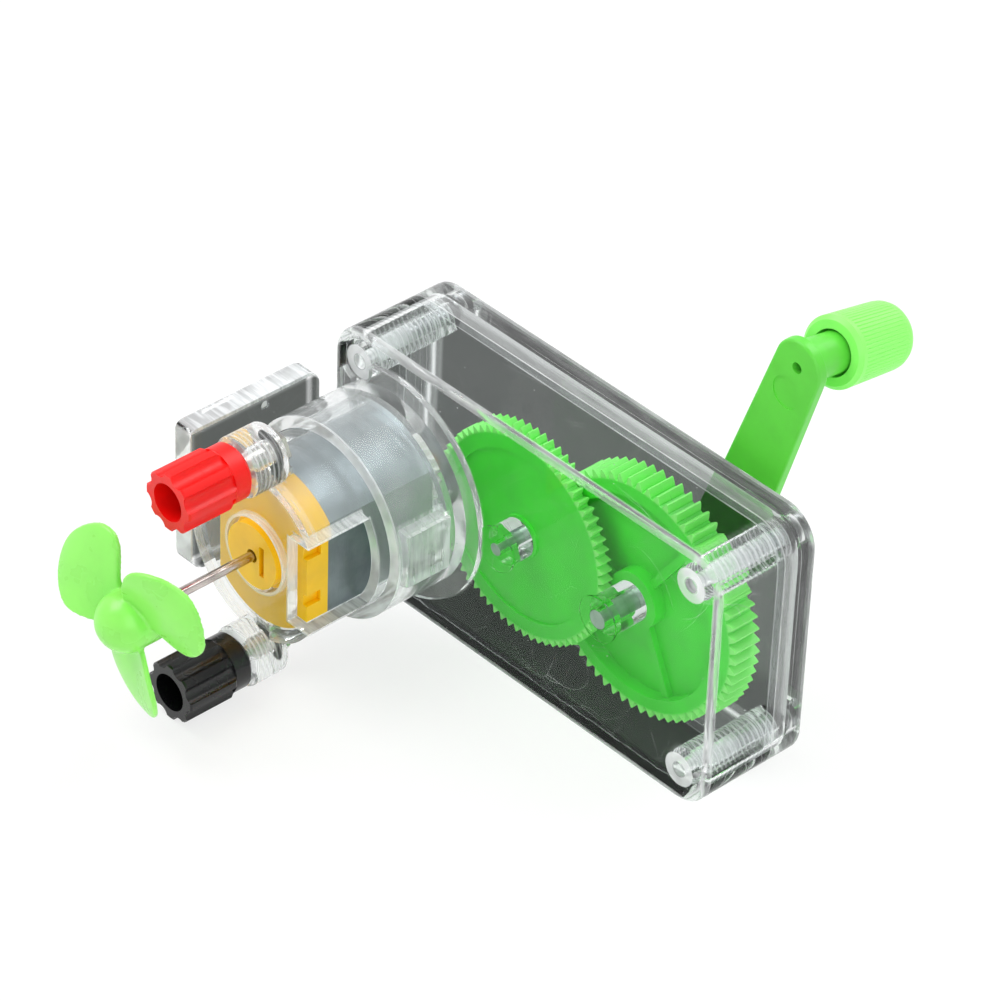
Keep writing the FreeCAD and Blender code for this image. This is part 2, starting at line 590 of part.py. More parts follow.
def motor_end_cap():
    """The moulded end cap with its round boss, screwdriver slot and stepped sides."""
    plate = can_section(CAN_RADIUS, CAN_HALF_FLAT, END_CAP_FRONT, CAN_FRONT)
    hollow = can_section(CAN_RADIUS - END_CAP_WALL, CAN_HALF_FLAT - END_CAP_WALL,
                         END_CAP_FRONT + END_CAP_WALL, CAN_FRONT + SMALL)
    boss = rod(MOTOR_X, AXIS_Z, END_BOSS_RADIUS, END_BOSS_FRONT, END_CAP_FRONT + SMALL)
    spigot = rod(MOTOR_X, AXIS_Z, BEARING_RADIUS + END_CAP_WALL, END_CAP_FRONT, BUSH_END)
    cap = join([plate.cut(hollow), boss, spigot])
    cap = cap.cut(rod(MOTOR_X, AXIS_Z, BEARING_RADIUS + STATIC_GAP, END_CAP_FRONT - SMALL, CAN_FRONT))
    cap = cap.cut(rod(MOTOR_X, AXIS_Z, MOTOR_SHAFT_RADIUS + END_PLAY, END_BOSS_FRONT - SMALL, CAN_FRONT))
    slot = block(MOTOR_X + END_SLOT_OFFSET, MOTOR_X + END_SLOT_OFFSET + END_SLOT_WIDTH,
                 END_BOSS_FRONT - SMALL, END_BOSS_FRONT + END_SLOT_DEPTH,
                 AXIS_Z - END_SLOT_HALF_LENGTH, AXIS_Z + END_SLOT_HALF_LENGTH)
    cap = cap.cut(slot)
    for level in (-1, 1):
        middle = AXIS_Z + level * END_NOTCH_OFFSET
        cap = cap.cut(block(MOTOR_X + CAN_HALF_FLAT - END_NOTCH_INSET, MOTOR_X + CAN_RADIUS,
                            END_CAP_FRONT - SMALL, END_CAP_FRONT + END_NOTCH_DEPTH,
                            middle - END_NOTCH_WIDTH / 2.0, middle + END_NOTCH_WIDTH / 2.0))
        middle = AXIS_Z + level * (CAN_RADIUS - END_CAP_WALL)
        cap = cap.cut(block(MOTOR_X - TAB_WIDTH / 2.0 - STATIC_GAP, MOTOR_X + TAB_WIDTH / 2.0 + STATIC_GAP,
                            TAB_DEPTH - STATIC_GAP, TAB_DEPTH + TAB_THICKNESS + STATIC_GAP,
                            middle - 2.0 * END_CAP_WALL, middle + 2.0 * END_CAP_WALL))
    return cap


def motor_bearings():
    """Two plain bronze bushes, one in the can's boss and one in the end cap."""
    back = tube(MOTOR_X, AXIS_Z, BEARING_RADIUS, MOTOR_SHAFT_RADIUS + RUNNING_GAP,
                MOTOR_BACK - CAN_WALL, MOTOR_BACK + CAN_BOSS_HEIGHT)
    front = tube(MOTOR_X, AXIS_Z, BEARING_RADIUS, MOTOR_SHAFT_RADIUS + RUNNING_GAP,
                 END_CAP_FRONT, BUSH_END)
    return Part.makeCompound([back, front])


def motor_shaft():
    """The thin steel shaft from the propeller, through the motor, to the gearbox pinion."""
    return rod(MOTOR_X, AXIS_Z, MOTOR_SHAFT_RADIUS, -PROPELLER_DEPTH - PROPELLER_HUB_LENGTH / 2.0,
               IDLER_BACK + PINION_FACE / 2.0)


def sector(inner, outer, middle_angle, span, start, end):
    """A ring sector about the motor axis, used for pole shoes and magnets."""
    low, high = middle_angle - span / 2.0, middle_angle + span / 2.0
    arcs = [arc_edge(MOTOR_X, AXIS_Z, outer, low, high, start),
            arc_edge(MOTOR_X, AXIS_Z, inner, high, low, start)]
    ends = [Part.makeLine(arcs[0].Vertexes[-1].Point, arcs[1].Vertexes[0].Point),
            Part.makeLine(arcs[1].Vertexes[-1].Point, arcs[0].Vertexes[0].Point)]
    wire = Part.Wire([arcs[0], ends[0], arcs[1], ends[1]])
    return Part.Face(wire).extrude(Vector(0, end - start, 0))


def turned(shape, angle):
    """A copy of a shape turned about the motor axis."""
    copy = shape.copy()
    copy.rotate(at(MOTOR_X, 0, AXIS_Z), Vector(0, -1, 0), angle)
    return copy


def armature_core():
    """The three-pole laminated core."""
    start, end = CORE_MIDDLE - CORE_LENGTH / 2.0, CORE_MIDDLE + CORE_LENGTH / 2.0
    pieces = [rod(MOTOR_X, AXIS_Z, CORE_HUB_RADIUS, start, end)]
    for angle in POLE_ANGLES:
        neck = block(MOTOR_X, MOTOR_X + CORE_RADIUS - POLE_SHOE / 2.0, start, end,
                     AXIS_Z - POLE_NECK / 2.0, AXIS_Z + POLE_NECK / 2.0)
        pieces.append(turned(neck, angle))
        pieces.append(sector(CORE_RADIUS - POLE_SHOE, CORE_RADIUS, angle, POLE_SPAN, start, end))
    core = join(pieces)
    return core.cut(rod(MOTOR_X, AXIS_Z, MOTOR_SHAFT_RADIUS + STATIC_GAP, start - SMALL, end + SMALL))


def armature_windings():
    """Three enamelled copper coils, one round each pole."""
    start = CORE_MIDDLE - CORE_LENGTH / 2.0 - COIL_OVERHANG
    end = CORE_MIDDLE + CORE_LENGTH / 2.0 + COIL_OVERHANG
    near = CORE_HUB_RADIUS + COIL_INSET
    far = CORE_RADIUS - POLE_SHOE - COIL_GAP * 2.0
    slot = POLE_NECK / 2.0 + COIL_GAP
    coil = block(MOTOR_X + near, MOTOR_X + far, start, end,
                 AXIS_Z - COIL_WIDTH / 2.0, AXIS_Z + COIL_WIDTH / 2.0)
    opening = block(MOTOR_X, MOTOR_X + CORE_RADIUS, start + COIL_OVERHANG - COIL_GAP,
                    end - COIL_OVERHANG + COIL_GAP, AXIS_Z - slot, AXIS_Z + slot)
    hub = rod(MOTOR_X, AXIS_Z, CORE_HUB_RADIUS + COIL_GAP, start - SMALL, end + SMALL)
    inside = rod(MOTOR_X, AXIS_Z, CORE_RADIUS - POLE_SHOE - COIL_GAP, start, end)
    coil = coil.common(inside).cut(opening).cut(hub)
    return Part.makeCompound([turned(coil, angle) for angle in POLE_ANGLES])


def commutator():
    """The three-segment commutator between the core and the end cap."""
    start, end = commutator_span()
    ring = tube(MOTOR_X, AXIS_Z, COMMUTATOR_RADIUS, MOTOR_SHAFT_RADIUS + STATIC_GAP, start, end)
    for angle in POLE_ANGLES:
        groove = block(MOTOR_X + COMMUTATOR_RADIUS - COMMUTATOR_SLOT, MOTOR_X + COMMUTATOR_RADIUS + SMALL,
                       start - SMALL, end + SMALL,
                       AXIS_Z - COMMUTATOR_SLOT / 2.0, AXIS_Z + COMMUTATOR_SLOT / 2.0)
        ring = ring.cut(turned(groove, angle + 180.0 / len(POLE_ANGLES)))
    return ring


def commutator_span():
    """Start and end depth of the commutator."""
    end = CORE_MIDDLE - CORE_LENGTH / 2.0 - COIL_OVERHANG - COIL_GAP
    return end - COMMUTATOR_LENGTH, end


def motor_magnets():
    """Two curved ferrite magnets inside the can, above and below the armature."""
    inner, outer = CORE_RADIUS + MAGNET_GAP, CAN_RADIUS - CAN_WALL - STATIC_GAP
    start, end = CORE_MIDDLE - MAGNET_LENGTH / 2.0, CORE_MIDDLE + MAGNET_LENGTH / 2.0
    return Part.makeCompound([sector(inner, outer, angle, MAGNET_SPAN, start, end) for angle in MAGNET_ANGLES])


def motor_brushes():
    """Two sprung brush strips that bear on the commutator, above and below it."""
    start, end = commutator_span()
    middle = (start + end) / 2.0
    brushes = []
    for level in (-1, 1):
        tip = AXIS_Z + level * (COMMUTATOR_RADIUS + RUNNING_GAP)
        zs = sorted((tip, tip + level * BRUSH_THICKNESS))
        shoe = block(MOTOR_X - BRUSH_WIDTH / 2.0, MOTOR_X + BRUSH_WIDTH / 2.0,
                     middle - BRUSH_WIDTH / 2.0, middle + BRUSH_WIDTH / 2.0, zs[0], zs[1])
        zs = sorted((tip + level * BRUSH_THICKNESS, AXIS_Z + level * BRUSH_REACH))
        arm = block(MOTOR_X - BRUSH_WIDTH / 2.0, MOTOR_X + BRUSH_WIDTH / 2.0,
                    middle - TAB_THICKNESS / 2.0, middle + TAB_THICKNESS / 2.0, zs[0], zs[1])
        zs = sorted((AXIS_Z + level * BRUSH_REACH, AXIS_Z + level * (BRUSH_REACH - TAB_THICKNESS)))
        rail_start, rail_end = sorted((TAB_DEPTH + TAB_THICKNESS, middle + TAB_THICKNESS / 2.0))
        rail = block(MOTOR_X - BRUSH_WIDTH / 2.0, MOTOR_X + BRUSH_WIDTH / 2.0,
                     rail_start, rail_end, zs[0], zs[1])
        brushes.append(join([shoe, arm, rail]))
    return Part.makeCompound(brushes)


def motor_tabs():
    """Two brass tabs that come out of the end cap at its top and bottom."""
    tabs = []
    for level in (-1, 1):
        zs = sorted((AXIS_Z + level * BRUSH_REACH, AXIS_Z + level * TAB_REACH))
        tabs.append(block(MOTOR_X - TAB_WIDTH / 2.0, MOTOR_X + TAB_WIDTH / 2.0,
                          TAB_DEPTH, TAB_DEPTH + TAB_THICKNESS, zs[0], zs[1]))
    return Part.makeCompound(tabs)


# ---- motor holder and binding posts --------------------------------------------------------------
def motor_holder():
    """The clear cap over the motor's front, with its side window, latch lug and two post bosses."""
    skin = rod(MOTOR_X, AXIS_Z, HOLDER_RADIUS, -HOLDER_FACE, -HOLDER_TAIL)
    latch = block(MOTOR_X + HOLDER_BORE, MOTOR_X + SLEEVE_RADIUS - LOOSE_GAP, -LATCH_FAR, -LATCH_NEAR,
                  AXIS_Z - LATCH_HALF_HEIGHT, AXIS_Z + LATCH_HALF_HEIGHT)
    pieces = [skin, latch]
    for level in (-1, 1):
        z = AXIS_Z + level * POST_OFFSET
        boss = rod(MOTOR_X, z, POST_BOSS_RADIUS, -POST_BOSS_FRONT, -POST_BOSS_BACK)
        pieces.append(boss.makeFillet(POST_BOSS_EDGE, [boss.Edges[0], boss.Edges[2]]))
        zs = sorted((AXIS_Z + level * HOLDER_BORE, z))
        pieces.append(block(MOTOR_X - POST_WEB / 2.0, MOTOR_X + POST_WEB / 2.0, -HOLDER_FACE,
                            -POST_BOSS_BACK, zs[0], zs[1]))
    holder = join(pieces)
    holder = holder.cut(rod(MOTOR_X, AXIS_Z, HOLDER_BORE, -HOLDER_FACE + HOLDER_FACE_THICKNESS, 0.0))
    holder = holder.cut(rod(MOTOR_X, AXIS_Z, END_BOSS_RADIUS + HOLDER_FACE_GAP, -HOLDER_FACE - SMALL, 0.0))
    holder = holder.cut(block(MOTOR_X + WINDOW_START, MOTOR_X + SLEEVE_RADIUS + SMALL,
                              -HOLDER_FACE - SMALL, -HOLDER_FACE + WINDOW_DEPTH,
                              AXIS_Z - WINDOW_HALF_HEIGHT, AXIS_Z + WINDOW_HALF_HEIGHT))
    for level in (-1, 1):
        z = AXIS_Z + level * POST_OFFSET
        holder = holder.cut(rod(MOTOR_X, z, STUD_RADIUS + STATIC_GAP, -POST_BOSS_FRONT - SMALL, 0.0))
        half = STRIP_WIDTH / 2.0 + LOOSE_GAP
        near = AXIS_Z + level * (HOLDER_BORE - SMALL)
        leg_reach = AXIS_Z + level * (TAB_REACH + STRIP_THICKNESS + 2.0 * LOOSE_GAP)
        skin_reach = AXIS_Z + level * (HOLDER_RADIUS + SMALL)
        nut_end = -POST_BOSS_BACK + STRIP_THICKNESS + NUT_HEIGHT
        leg_start, leg_end = contact_leg_span()
        for reach, start, end in ((leg_reach, leg_start - TAB_THICKNESS, leg_end + TAB_THICKNESS),
                                  (skin_reach, -POST_BOSS_BACK, nut_end)):
            zs = sorted((near, reach))
            holder = holder.cut(block(MOTOR_X - half, MOTOR_X + half, start, end, zs[0], zs[1]))
    return holder


def contact_leg_span():
    """Start and end depth of the leg that joins a motor tab to its contact strip."""
    return (min(TAB_DEPTH, -POST_BOSS_BACK),
            max(TAB_DEPTH + TAB_THICKNESS, -POST_BOSS_BACK + STRIP_THICKNESS))


def terminal_contacts():
    """Two bent brass strips that join each motor tab to the stud of its binding post."""
    strips = []
    for level in (-1, 1):
        inner = AXIS_Z + level * (TAB_REACH + STATIC_GAP)
        zs = sorted((inner, AXIS_Z + level * POST_OFFSET))
        flat = block(MOTOR_X - STRIP_WIDTH / 2.0, MOTOR_X + STRIP_WIDTH / 2.0, -POST_BOSS_BACK,
                     -POST_BOSS_BACK + STRIP_THICKNESS, zs[0], zs[1])
        zs = sorted((inner, inner + level * STRIP_THICKNESS))
        leg_start, leg_end = contact_leg_span()
        leg = block(MOTOR_X - STRIP_WIDTH / 2.0, MOTOR_X + STRIP_WIDTH / 2.0, leg_start, leg_end,
                    zs[0], zs[1])
        post_z = AXIS_Z + level * POST_OFFSET
        eye = rod(MOTOR_X, post_z, EYE_RADIUS, -POST_BOSS_BACK, -POST_BOSS_BACK + STRIP_THICKNESS)
        hole = rod(MOTOR_X, post_z, STUD_RADIUS + STATIC_GAP,
                   -POST_BOSS_BACK - SMALL, -POST_BOSS_BACK + 2.0 * SMALL)
        strips.append(join([flat, leg, eye]).cut(hole))
    return Part.makeCompound(strips)


def terminal_nuts():
    """Two hexagon nuts that clamp the studs and the contact strips."""
    start = -POST_BOSS_BACK + STRIP_THICKNESS
    nuts = []
    for level in (-1, 1):
        z = AXIS_Z + level * POST_OFFSET
        nut = hexagon(MOTOR_X, z, NUT_ACROSS_FLATS, start, start + NUT_HEIGHT)
        hole = rod(MOTOR_X, z, STUD_RADIUS + STATIC_GAP, start - SMALL, start + NUT_HEIGHT + SMALL)
        nuts.append(nut.cut(hole))
    return Part.makeCompound(nuts)


def terminal_studs():
    """Two brass studs that carry the red and the black cap."""
    start = -POST_BOSS_FRONT - POST_CAP_GAP - (POST_CAP_LENGTH - SOCKET_DEPTH) + LOOSE_GAP
    end = -POST_BOSS_BACK + STRIP_THICKNESS + NUT_HEIGHT + STUD_TAIL
    return Part.makeCompound([rod(MOTOR_X, AXIS_Z + level * POST_OFFSET, STUD_RADIUS, start, end)
                              for level in (-1, 1)])


def post_cap(level):
    """One binding post cap: a smooth collar, a fluted grip and a round socket in its front."""
    z = AXIS_Z + level * POST_OFFSET
    back = -POST_BOSS_FRONT - POST_CAP_GAP
    front = back - POST_CAP_LENGTH
    grip = back - POST_CAP_COLLAR
    profile = [(0.0, back), (POST_CAP_COLLAR_RADIUS - POST_CAP_EDGE, back),
               (POST_CAP_COLLAR_RADIUS, back - POST_CAP_EDGE), (POST_CAP_COLLAR_RADIUS, grip),
               (POST_CAP_RADIUS, grip - POST_CAP_EDGE), (POST_CAP_RADIUS, front + POST_CAP_FRONT_EDGE),
               (POST_CAP_RADIUS - POST_CAP_FRONT_EDGE, front), (0.0, front)]
    cap = revolved(profile, MOTOR_X, z)
    for index in range(POST_CAP_FLUTES):
        angle = math.radians(360.0 * (index + 0.5) / POST_CAP_FLUTES)
        distance = POST_CAP_RADIUS + POST_FLUTE_RADIUS - POST_FLUTE_DEPTH
        cap = cap.cut(rod(MOTOR_X + distance * math.cos(angle), z + distance * math.sin(angle),
                          POST_FLUTE_RADIUS, front - SMALL, grip))
    cap = cap.cut(rod(MOTOR_X, z, SOCKET_RADIUS, front - SMALL, front + SOCKET_DEPTH))
    return cap.cut(rod(MOTOR_X, z, STUD_RADIUS + RUNNING_GAP, front, back + SMALL))


# ---- propeller -----------------------------------------------------------------------------------
def blade_point(radius, angle):
    """A point of the blades' rear face, which slopes round the shaft and is cupped along its length."""
    share = radius / max(distance for distance, across in BLADE_OUTLINE)
    rise = BLADE_THICKNESS / 2.0 - BLADE_SLOPE * radius * angle - BLADE_CUP * share + BLADE_RAKE * share ** 5
    return at(MOTOR_X + radius * math.cos(angle), -PROPELLER_DEPTH + rise, AXIS_Z + radius * math.sin(angle))


def propeller_blade():
    """One twisted blade that points along +X from the motor axis, before it is turned."""
    reach = max(distance for distance, across in BLADE_OUTLINE) + SMALL
    radii = [SMALL + index * (reach - SMALL) / BLADE_STEPS for index in range(BLADE_STEPS + 1)]
    angles = [BLADE_SWEEP * (2.0 * index / BLADE_STEPS - 1.0) for index in range(BLADE_STEPS + 1)]
    surface = Part.BSplineSurface()
    surface.interpolate([[blade_point(radius, angle) for angle in angles] for radius in radii])
    sheet = surface.toShape().extrude(Vector(0, -BLADE_THICKNESS, 0))
    start = -PROPELLER_DEPTH - BLADE_REACH
    outline = [at(MOTOR_X + distance, start, AXIS_Z + across) for distance, across in BLADE_OUTLINE]
    curve = Part.BSplineCurve()
    curve.interpolate(outline)
    closing = Part.makeLine(outline[-1], outline[0])
    face = Part.Face(Part.Wire([curve.toShape(), closing]))
    return sheet.common(face.extrude(Vector(0, 2.0 * BLADE_REACH, 0)))


def propeller():
    """The three-bladed propeller pushed on the front of the motor shaft."""
    back = -PROPELLER_DEPTH + PROPELLER_HUB_LENGTH / 2.0
    front = -PROPELLER_DEPTH - PROPELLER_HUB_LENGTH / 2.0
    hub = rod(MOTOR_X, AXIS_Z, PROPELLER_HUB_RADIUS, front, back)
    bulge = (PROPELLER_HUB_RADIUS ** 2 + PROPELLER_NOSE ** 2) / (2.0 * PROPELLER_NOSE)
    ball = Part.makeSphere(bulge, at(MOTOR_X, front - PROPELLER_NOSE + bulge, AXIS_Z))
    nose = ball.common(rod(MOTOR_X, AXIS_Z, PROPELLER_HUB_RADIUS, front - PROPELLER_NOSE - SMALL, front))
    blades = [turned(propeller_blade(), angle) for angle in BLADE_ANGLES]
    solid = join([hub, nose] + blades)
    return solid.cut(rod(MOTOR_X, AXIS_Z, MOTOR_SHAFT_RADIUS + STATIC_GAP, front - STATIC_GAP, back + SMALL))


# ---- crank ---------------------------------------------------------------------------------------
def arm_frame(shape):
    """Turn a shape drawn with the arm along +X to the arm's rest direction."""
    copy = shape.copy()
    copy.rotate(at(CRANK_X, 0, AXIS_Z), Vector(0, -1, 0), CRANK_ANGLE)
    return copy


def pin_frame(shape):
    """Place a shape turned about the Y line through the origin on the leaning handle pin."""
    copy = shape.copy()
    copy.rotate(Vector(0, 0, 0), Vector(0, 0, 1), PIN_LEAN)
    copy.translate(at(CRANK_X + CRANK_LENGTH, ARM_FRONT, AXIS_Z))
    return arm_frame(copy)


def pin_turned(profile):
    """A solid turned about the handle pin from (radius, distance behind the arm's front face)."""
    points = [Vector(radius, distance, 0) for radius, distance in profile]
    points.append(points[0])
    solid = Part.Face(Part.makePolygon(points)).revolve(Vector(0, 0, 0), Vector(0, 1, 0), 360)
    return pin_frame(solid)


def crank_arm():
    """The crank arm with its hub and the leaning, stepped handle pin moulded on."""
    far = CRANK_LENGTH - ARM_END_SHORT_OF_PIN
    tilt = math.degrees(math.asin((ARM_HUB_RADIUS - ARM_END_RADIUS) / far))
    top, bottom = 90.0 - tilt, -90.0 + tilt
    end_arc = arc_edge(CRANK_X + far, AXIS_Z, ARM_END_RADIUS, bottom, top, ARM_FRONT)
    hub_arc = arc_edge(CRANK_X, AXIS_Z, ARM_HUB_RADIUS, top, 360.0 + bottom, ARM_FRONT)
    sides = [Part.makeLine(end_arc.Vertexes[-1].Point, hub_arc.Vertexes[0].Point),
             Part.makeLine(hub_arc.Vertexes[-1].Point, end_arc.Vertexes[0].Point)]
    face = Part.Face(Part.Wire([end_arc, sides[0], hub_arc, sides[1]]))
    plate = face.extrude(Vector(0, ARM_THICKNESS, 0))
    plate = plate.makeFillet(ARM_EDGE, [e for e in plate.Edges if e.BoundBox.YLength < ARM_THICKNESS / 2.0])
    dimple = rod(CRANK_X + far - ARM_DIMPLE_FROM_END, AXIS_Z, ARM_DIMPLE_RADIUS,
                 ARM_FRONT - SMALL, ARM_FRONT + ARM_DIMPLE_DEPTH)
    plate = arm_frame(plate.cut(dimple))
    hub = rod(CRANK_X, AXIS_Z, COLLAR_RADIUS, HUB_FRONT, HUB_BACK)
    mouth_end = KNOB_START + KNOB_MOUTH_DEPTH - END_PLAY
    pin_end = mouth_end + KNOB_PIN_LENGTH
    groove = pin_end - 2.0 * SNAP_WIDTH
    pin = pin_turned([(0.0, NECK_START), (NECK_RADIUS, NECK_START), (NECK_RADIUS, mouth_end),
                      (KNOB_PIN_RADIUS, mouth_end), (KNOB_PIN_RADIUS, groove),
                      (KNOB_PIN_RADIUS - SNAP_DEPTH, groove),
                      (KNOB_PIN_RADIUS - SNAP_DEPTH, groove + SNAP_WIDTH),
                      (KNOB_PIN_RADIUS, groove + SNAP_WIDTH), (KNOB_PIN_RADIUS - SNAP_DEPTH, pin_end),
                      (0.0, pin_end)])
    arm = join([plate, hub, pin])
    arm = arm.cut(arm_frame(rod(CRANK_X + far, AXIS_Z, CORE_HOLE_RADIUS, ARM_FRONT - SMALL,
                                ARM_FRONT + CORE_HOLE_DEPTH)))
    bore = rod(CRANK_X, AXIS_Z, CRANK_SHAFT_RADIUS + STATIC_GAP, HUB_FRONT - SMALL, HUB_BACK + SMALL)
    flat = block(CRANK_X - CRANK_SHAFT_RADIUS * 2.0, CRANK_X + CRANK_SHAFT_RADIUS * 2.0, HUB_FRONT - SMALL,
                 HUB_BACK + SMALL, AXIS_Z + CRANK_SHAFT_RADIUS - FLAT_DEPTH + STATIC_GAP,
                 AXIS_Z + CRANK_SHAFT_RADIUS * 2.0)
    return arm.cut(bore.cut(arm_frame(flat)))


def rib_star(radius, distance):
    """The knob's ribbed outline at one distance along its pin."""
    points = []
    for index in range(KNOB_RIBS * 2):
        angle = math.pi * index / KNOB_RIBS
        reach = radius + KNOB_RIB_DEPTH if index % 2 else radius - KNOB_RIB_DEPTH
        points.append(Vector(reach * math.cos(angle), distance, reach * math.sin(angle)))
    points.append(points[0])
    return Part.makePolygon(points)


def crank_knob():
    """The ribbed knob that turns on the handle pin and snaps into its groove."""
    end = KNOB_START + KNOB_LENGTH
    band = KNOB_START + KNOB_SMOOTH_BAND
    band_radius = KNOB_RADIUS - (KNOB_RADIUS - KNOB_END_RADIUS) * KNOB_SMOOTH_BAND / KNOB_LENGTH
    rim = KNOB_RIM_ROUNDING
    profile = [(0.0, KNOB_START), (KNOB_RADIUS - rim, KNOB_START), (KNOB_RADIUS, KNOB_START + rim),
               (band_radius, band), (KNOB_END_RADIUS, end - KNOB_ROUNDING)]
    for index in range(1, KNOB_ROUNDING_STEPS + 1):
        angle = math.radians(90.0 * index / KNOB_ROUNDING_STEPS)
        profile.append((KNOB_END_RADIUS - KNOB_ROUNDING * (1.0 - math.cos(angle)),
                        end - KNOB_ROUNDING * (1.0 - math.sin(angle))))
    profile.append((0.0, end))
    body = pin_turned(profile)
    ribs = Part.makeLoft([rib_star(band_radius, band), rib_star(KNOB_END_RADIUS, end)], True, True)
    band_rod = Part.makeCylinder(KNOB_RADIUS + SMALL, band, Vector(0, 0, 0), Vector(0, 1, 0))
    body = body.common(pin_frame(ribs.fuse(band_rod)))
    mouth = KNOB_START + KNOB_MOUTH_DEPTH
    pin_end = mouth - END_PLAY + KNOB_PIN_LENGTH
    groove = pin_end - 2.0 * SNAP_WIDTH
    bore = KNOB_PIN_RADIUS + RUNNING_GAP
    bead = KNOB_PIN_RADIUS - SNAP_DEPTH + 2.0 * RUNNING_GAP
    play = 2.0 * RUNNING_GAP
    hollow = pin_turned([(0.0, KNOB_START - SMALL), (KNOB_MOUTH_RADIUS, KNOB_START - SMALL),
                         (KNOB_MOUTH_RADIUS, mouth), (bore, mouth), (bore, groove + play),
                         (bead, groove + play), (bead, groove + SNAP_WIDTH - play),
                         (bore, groove + SNAP_WIDTH - play), (bore, pin_end + END_PLAY),
                         (0.0, pin_end + END_PLAY)])
    return body.cut(hollow)


def hub_screw():
    """The small screw in the end of the crank shaft that keeps the arm on."""
    seat = HUB_BACK + WASHER_THICKNESS
    head = rod(CRANK_X, AXIS_Z, SCREW_HEAD_RADIUS, seat, seat + SCREW_HEAD_HEIGHT)
    head = head.makeFillet(SMALL, [e for e in head.Edges if e.BoundBox.YMin > FRONT_Y + seat + SMALL])
    shank = rod(CRANK_X, AXIS_Z, HUB_SCREW_RADIUS, seat - HUB_SCREW_LENGTH, seat + SMALL)
    screw = join([head, shank])
    for angle in (0.0, 90.0):
        slot = block(CRANK_X - SLOT_REACH, CRANK_X + SLOT_REACH,
                     seat + SCREW_HEAD_HEIGHT - SLOT_DEPTH, seat + SCREW_HEAD_HEIGHT + SMALL,
                     AXIS_Z - SLOT_WIDTH / 2.0, AXIS_Z + SLOT_WIDTH / 2.0)
        slot.rotate(at(CRANK_X, 0, AXIS_Z), Vector(0, -1, 0), angle + CRANK_ANGLE)
        screw = screw.cut(slot)
    return screw


def hub_washer():
    """The washer under the hub screw's head."""
    return tube(CRANK_X, AXIS_Z, WASHER_RADIUS, HUB_SCREW_RADIUS + LOOSE_GAP,
                HUB_BACK, HUB_BACK + WASHER_THICKNESS)


NODES = {
    "front_case": front_case,
    "back_cover": back_cover,
    "case_screws": case_screws,
    "crank_gear": crank_gear,
    "crank_shaft": crank_shaft,
    "crank_arm": crank_arm,
    "crank_knob": crank_knob,
    "hub_screw": hub_screw,
    "hub_washer": hub_washer,
    "idler_gear": idler_gear,
    "idler_axle": idler_axle,
    "motor_pinion": motor_pinion,
    "motor_can": motor_can,
    "motor_end_cap": motor_end_cap,
    "motor_bearings": motor_bearings,
    "motor_magnets": motor_magnets,
    "motor_brushes": motor_brushes,
    "motor_tabs": motor_tabs,
    "motor_shaft": motor_shaft,
    "armature_core": armature_core,
    "armature_windings": armature_windings,
    "commutator": commutator,
    "motor_holder": motor_holder,
    "terminal_contacts": terminal_contacts,
    "terminal_nuts": terminal_nuts,
    "terminal_studs": terminal_studs,
    "red_post_cap": lambda: post_cap(1),
    "black_post_cap": lambda: post_cap(-1),
    "propeller": propeller,
}

os.makedirs("parts", exist_ok=True)
for node, build in NODES.items():
    shape = build()
    shape.exportStep(os.path.join("parts", node + ".step"))
    state = "valid" if shape.isValid() else "not valid"
    print(node, len(shape.Solids), "solids", round(shape.Volume, 2), "mm3", state)
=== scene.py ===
"""A hand crank generator: clear gearbox, green gears, toy motor, posts, propeller and crank."""

from __future__ import annotations

import json
import logging
import math
from dataclasses import dataclass
from enum import Enum

import bpy
from mathutils import Matrix, Vector

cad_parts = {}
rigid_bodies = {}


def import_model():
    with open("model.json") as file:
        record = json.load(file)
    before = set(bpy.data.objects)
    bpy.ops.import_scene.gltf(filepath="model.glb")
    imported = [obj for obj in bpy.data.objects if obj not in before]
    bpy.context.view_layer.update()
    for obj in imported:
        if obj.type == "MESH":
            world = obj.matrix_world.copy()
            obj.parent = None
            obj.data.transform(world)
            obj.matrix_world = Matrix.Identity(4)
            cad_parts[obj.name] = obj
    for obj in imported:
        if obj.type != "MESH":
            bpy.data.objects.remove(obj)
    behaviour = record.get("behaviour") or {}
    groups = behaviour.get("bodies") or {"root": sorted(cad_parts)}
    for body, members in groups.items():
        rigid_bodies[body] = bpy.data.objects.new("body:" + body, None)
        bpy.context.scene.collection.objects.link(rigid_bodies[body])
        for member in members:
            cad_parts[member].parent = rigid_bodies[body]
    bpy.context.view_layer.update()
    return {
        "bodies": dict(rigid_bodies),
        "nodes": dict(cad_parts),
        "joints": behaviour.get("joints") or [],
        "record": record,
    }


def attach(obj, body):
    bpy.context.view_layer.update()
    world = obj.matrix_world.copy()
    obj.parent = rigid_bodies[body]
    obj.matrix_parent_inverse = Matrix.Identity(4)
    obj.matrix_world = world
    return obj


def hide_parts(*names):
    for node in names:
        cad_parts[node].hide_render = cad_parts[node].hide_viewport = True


LOG = logging.getLogger("generator")
MM = 0.001
LIGHT_STEPS = 20
PLASTIC_BEND = 1.49
GLOW_REACH = (0.6, 1.0, 0.4)
GLOW_DEPTH = 1.2
ALONG_SHAFT = (0.0, 1.0, 0.0)

Colour = tuple[float, float, float, float]
Range = tuple[float, float]
Axes = tuple[bpy.types.NodeSocket, ...]


def mm(*values: float) -> Vector:
    """A point or a step given in millimetres, in metres."""
    return Vector([value * MM for value in values])


